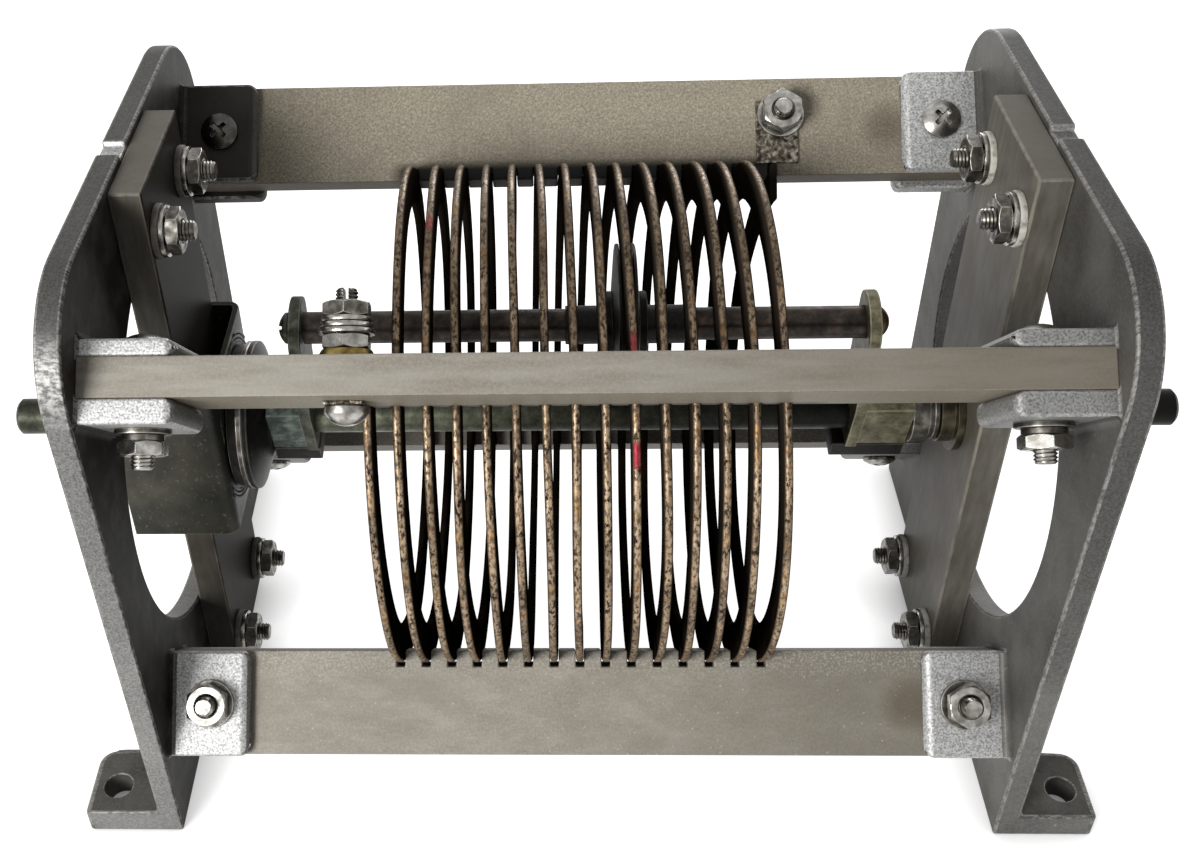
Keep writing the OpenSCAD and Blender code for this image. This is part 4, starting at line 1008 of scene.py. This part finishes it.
# Brown brass: almost black where the contact runs, with reddish-brown patches near the ends.
stops = ((0.35, "#1e1b17"), (0.5, "#322c27"), (0.62, "#453a33"), (0.76, "#6a5a50"))
brown_brass, tree, shader, place, clouds, tint = patchy_material("brown tarnished brass", 4, stops, 5, 0.7,
                                                                 (0.42, 0.3), Metallic=0.75)
lengthwise = add_node(tree, "SeparateXYZ", links={0: place}).outputs["X"]
tint = layered(tree, tint, "#6e5a3c", lengthwise, 66.2 * MM, 67.2 * MM, 0.8)
wire(tree, shader, {"Base Color": tint})
rod_left, rod_right = ((corner.x - MID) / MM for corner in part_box("contact_rod"))
ball = (ROD_R ** 2 + NOSE ** 2) / (2 * NOSE)
lean = [math.asin(ROD_R / ball) * (1 - i / 7) for i in range(8)]
nose = [(ball * math.sin(a), rod_right - ball + ball * math.cos(a)) for a in lean]
bored_end = [(0, rod_left + 9), (1.95, rod_left + 9), (1.95, rod_left), (ROD_R, rod_left)]
rod_place = rotor @ moved(y=ROD_OUT)
rod = set_out(turned(bored_end + nose, 40, False, 0, "X"), [rod_place])
settle(rod, "contact_rod", brown_brass, "rotor")
under_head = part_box("rod_screw")[0].x - MID + HEAD_H * MM
rod_end = rod_place @ Matrix.Translation((under_head, 0, 0)) @ rotated(-90, "Y") @ rotated(SLOT_TURN, "Z")
settle(set_out(slotted_screw(9), [rod_end]), "rod_screw", finishes["tarnished brass"], "rotor")

# Collector: a contact ring, a flat disc and a dished saucer on the shaft beside the bracket's web,
# the ring and saucer of blackened steel and the disc of dull plated steel, with bright rubbed rims.
RING = ((4.78, -86.8), (18.2, -86.8), (18.2, -84.3), (4.78, -84.3))
DISC = ((4.78, -84.3), (19, -84.3), (19, -83), (4.78, -83))
SAUCER = ((19, -83), (19, -81.6), (9.5, -78.5), (4.78, -78.5), (4.78, -79.9), (8.1, -79.9), (16.2, -83))
for name, profile, metal in (("ring", RING, black_steel), ("disc", DISC, steel),
                             ("saucer", SAUCER, black_steel)):
    piece = set_out(turned(profile, 72, True, 0.25, "X"), [on_shaft()])
    settle(piece, "collector_" + name, metal, "rotor")

# Thrust pieces: a steel collar and two washers on the shaft between the right block and the bush.
COLLAR = ((4.78, 82.15), (8.2, 82.15), (8.2, 86.35), (4.78, 86.35))
THRUST = ((4.81, 0), (7.6, 0), (7.6, 1.2), (4.81, 1.2))
collar = set_out(turned(COLLAR, 56, True, 0.3, "X"), [on_shaft()])
settle(collar, "thrust_collar", steel, "rotor")
thrust = set_out(turned(THRUST, 56, True, 0.2, "X"), [on_shaft(86.35), on_shaft(87.6)])
settle(thrust, "thrust_washers", steel, "rotor")

# Carriage: a black insulating sleeve that slides on the rod, and the grooved contact wheel that
# turns on it astride one turn of the coil.
SLEEVE = ((3.85, -13.8), (4.5, -13.8), (4.5, 13.8), (3.85, 13.8))
HALF_WHEEL = ((15.8, 1.5), (18.8, 1.5), (18.8, 2.2), (7.8, 3.1), (7.8, 4.9), (4.55, 4.9))
WHEEL_X = 10.12486
# Black fibre tube: nearly black, satin, with fine rubbed lines.
stops = ((0.35, "#15130f"), (0.55, "#25211c"), (0.72, "#39332c"))
black_fibre = patchy_material("black fibre tube", 1.2, stops, Roughness=0.45, Specular_IOR_Level=0.25)[0]
wheel_place = rod_place @ moved(WHEEL_X)
sleeve = set_out(turned(SLEEVE, 40, True, 0.15, "X"), [wheel_place])
settle(sleeve, "wheel_sleeve", black_fibre, "carriage")
wheel = turned(HALF_WHEEL + tuple((r, -x) for r, x in reversed(HALF_WHEEL)), 72, True, 0.2, "X")
settle(set_out(wheel, [wheel_place]), "contact_wheel", black_steel, "wheel")

# Studio: a pale floor that keeps the shadow, a white surround, a soft lamp near the front left and
# weaker ones behind and at the right. The camera stands where the photograph was taken.


def seen_directly(tree):
    path = add_node(tree, "LightPath")
    seen = path.outputs["Is Camera Ray"]
    for ray in ("Is Glossy Ray", "Is Transmission Ray"):
        seen = add_node(tree, "Math", {"operation": "MAXIMUM"}, {0: seen, 1: path.outputs[ray]})
    return seen


bpy.ops.mesh.primitive_plane_add(size=6)
floor = bpy.context.object
floor.name = "floor"
paper, tree, shader, place = start_material("white paper", Roughness=0.9, Specular_IOR_Level=0)
shader.inputs["Base Color"].default_value = colour("#cfcfcf")
# Near the object the floor's white glow fades by ambient occlusion: a painted contact shadow.
near = add_node(tree, "AmbientOcclusion", {"Distance": 14 * MM}).outputs["AO"]
glow = add_node(tree, "Emission", links={"Strength": near})
lit = add_node(tree, "AddShader", links={0: shader, 1: glow})
choice = add_node(tree, "MixShader", links={0: seen_directly(tree), 1: shader, 2: lit})
wire(tree, tree.nodes["Material Output"], {"Surface": choice})
floor.data.materials.append(paper)

world = bpy.data.worlds.new("white surround")
bpy.context.scene.world = world
world.use_nodes = True
tree = world.node_tree
tree.nodes.clear()
level = add_node(tree, "MapRange", {3: 0.14}, {0: seen_directly(tree)})
surround = add_node(tree, "Background", {"Color": "#ffffff"}, {"Strength": level})
add_node(tree, "OutputWorld", links={"Surface": surround})

for name, spot, size, power in (("key lamp", (-0.45, -0.6, 0.38), 0.35, 5.6),
                                ("back lamp", (0.1, 0.8, 0.3), 0.4, 3.2),
                                ("side lamp", (0.8, 0.05, 0.16), 0.3, 1.4)):
    bpy.ops.object.light_add(type="AREA", location=spot)
    lamp = bpy.context.object
    lamp.name = name
    lamp.data.size = size
    lamp.data.energy = power
    lamp.rotation_euler = (Vector((0, 0, 0.08)) - Vector(spot)).to_track_quat("-Z", "Y").to_euler()

bpy.ops.object.camera_add(location=Vector((-9.96, -281.87, 316.37)) * MM,
                          rotation=[math.radians(a) for a in (51.24, 2.08, 1.755)])
camera = bpy.context.object
camera.data.lens = 43.145
camera.data.sensor_width = 36
camera.data.sensor_fit = "HORIZONTAL"
camera.data.shift_x = 0.10024
camera.data.shift_y = -0.0395
camera.data.clip_start = 0.01
bpy.context.scene.camera = camera
bpy.context.scene.view_settings.view_transform = "Standard"
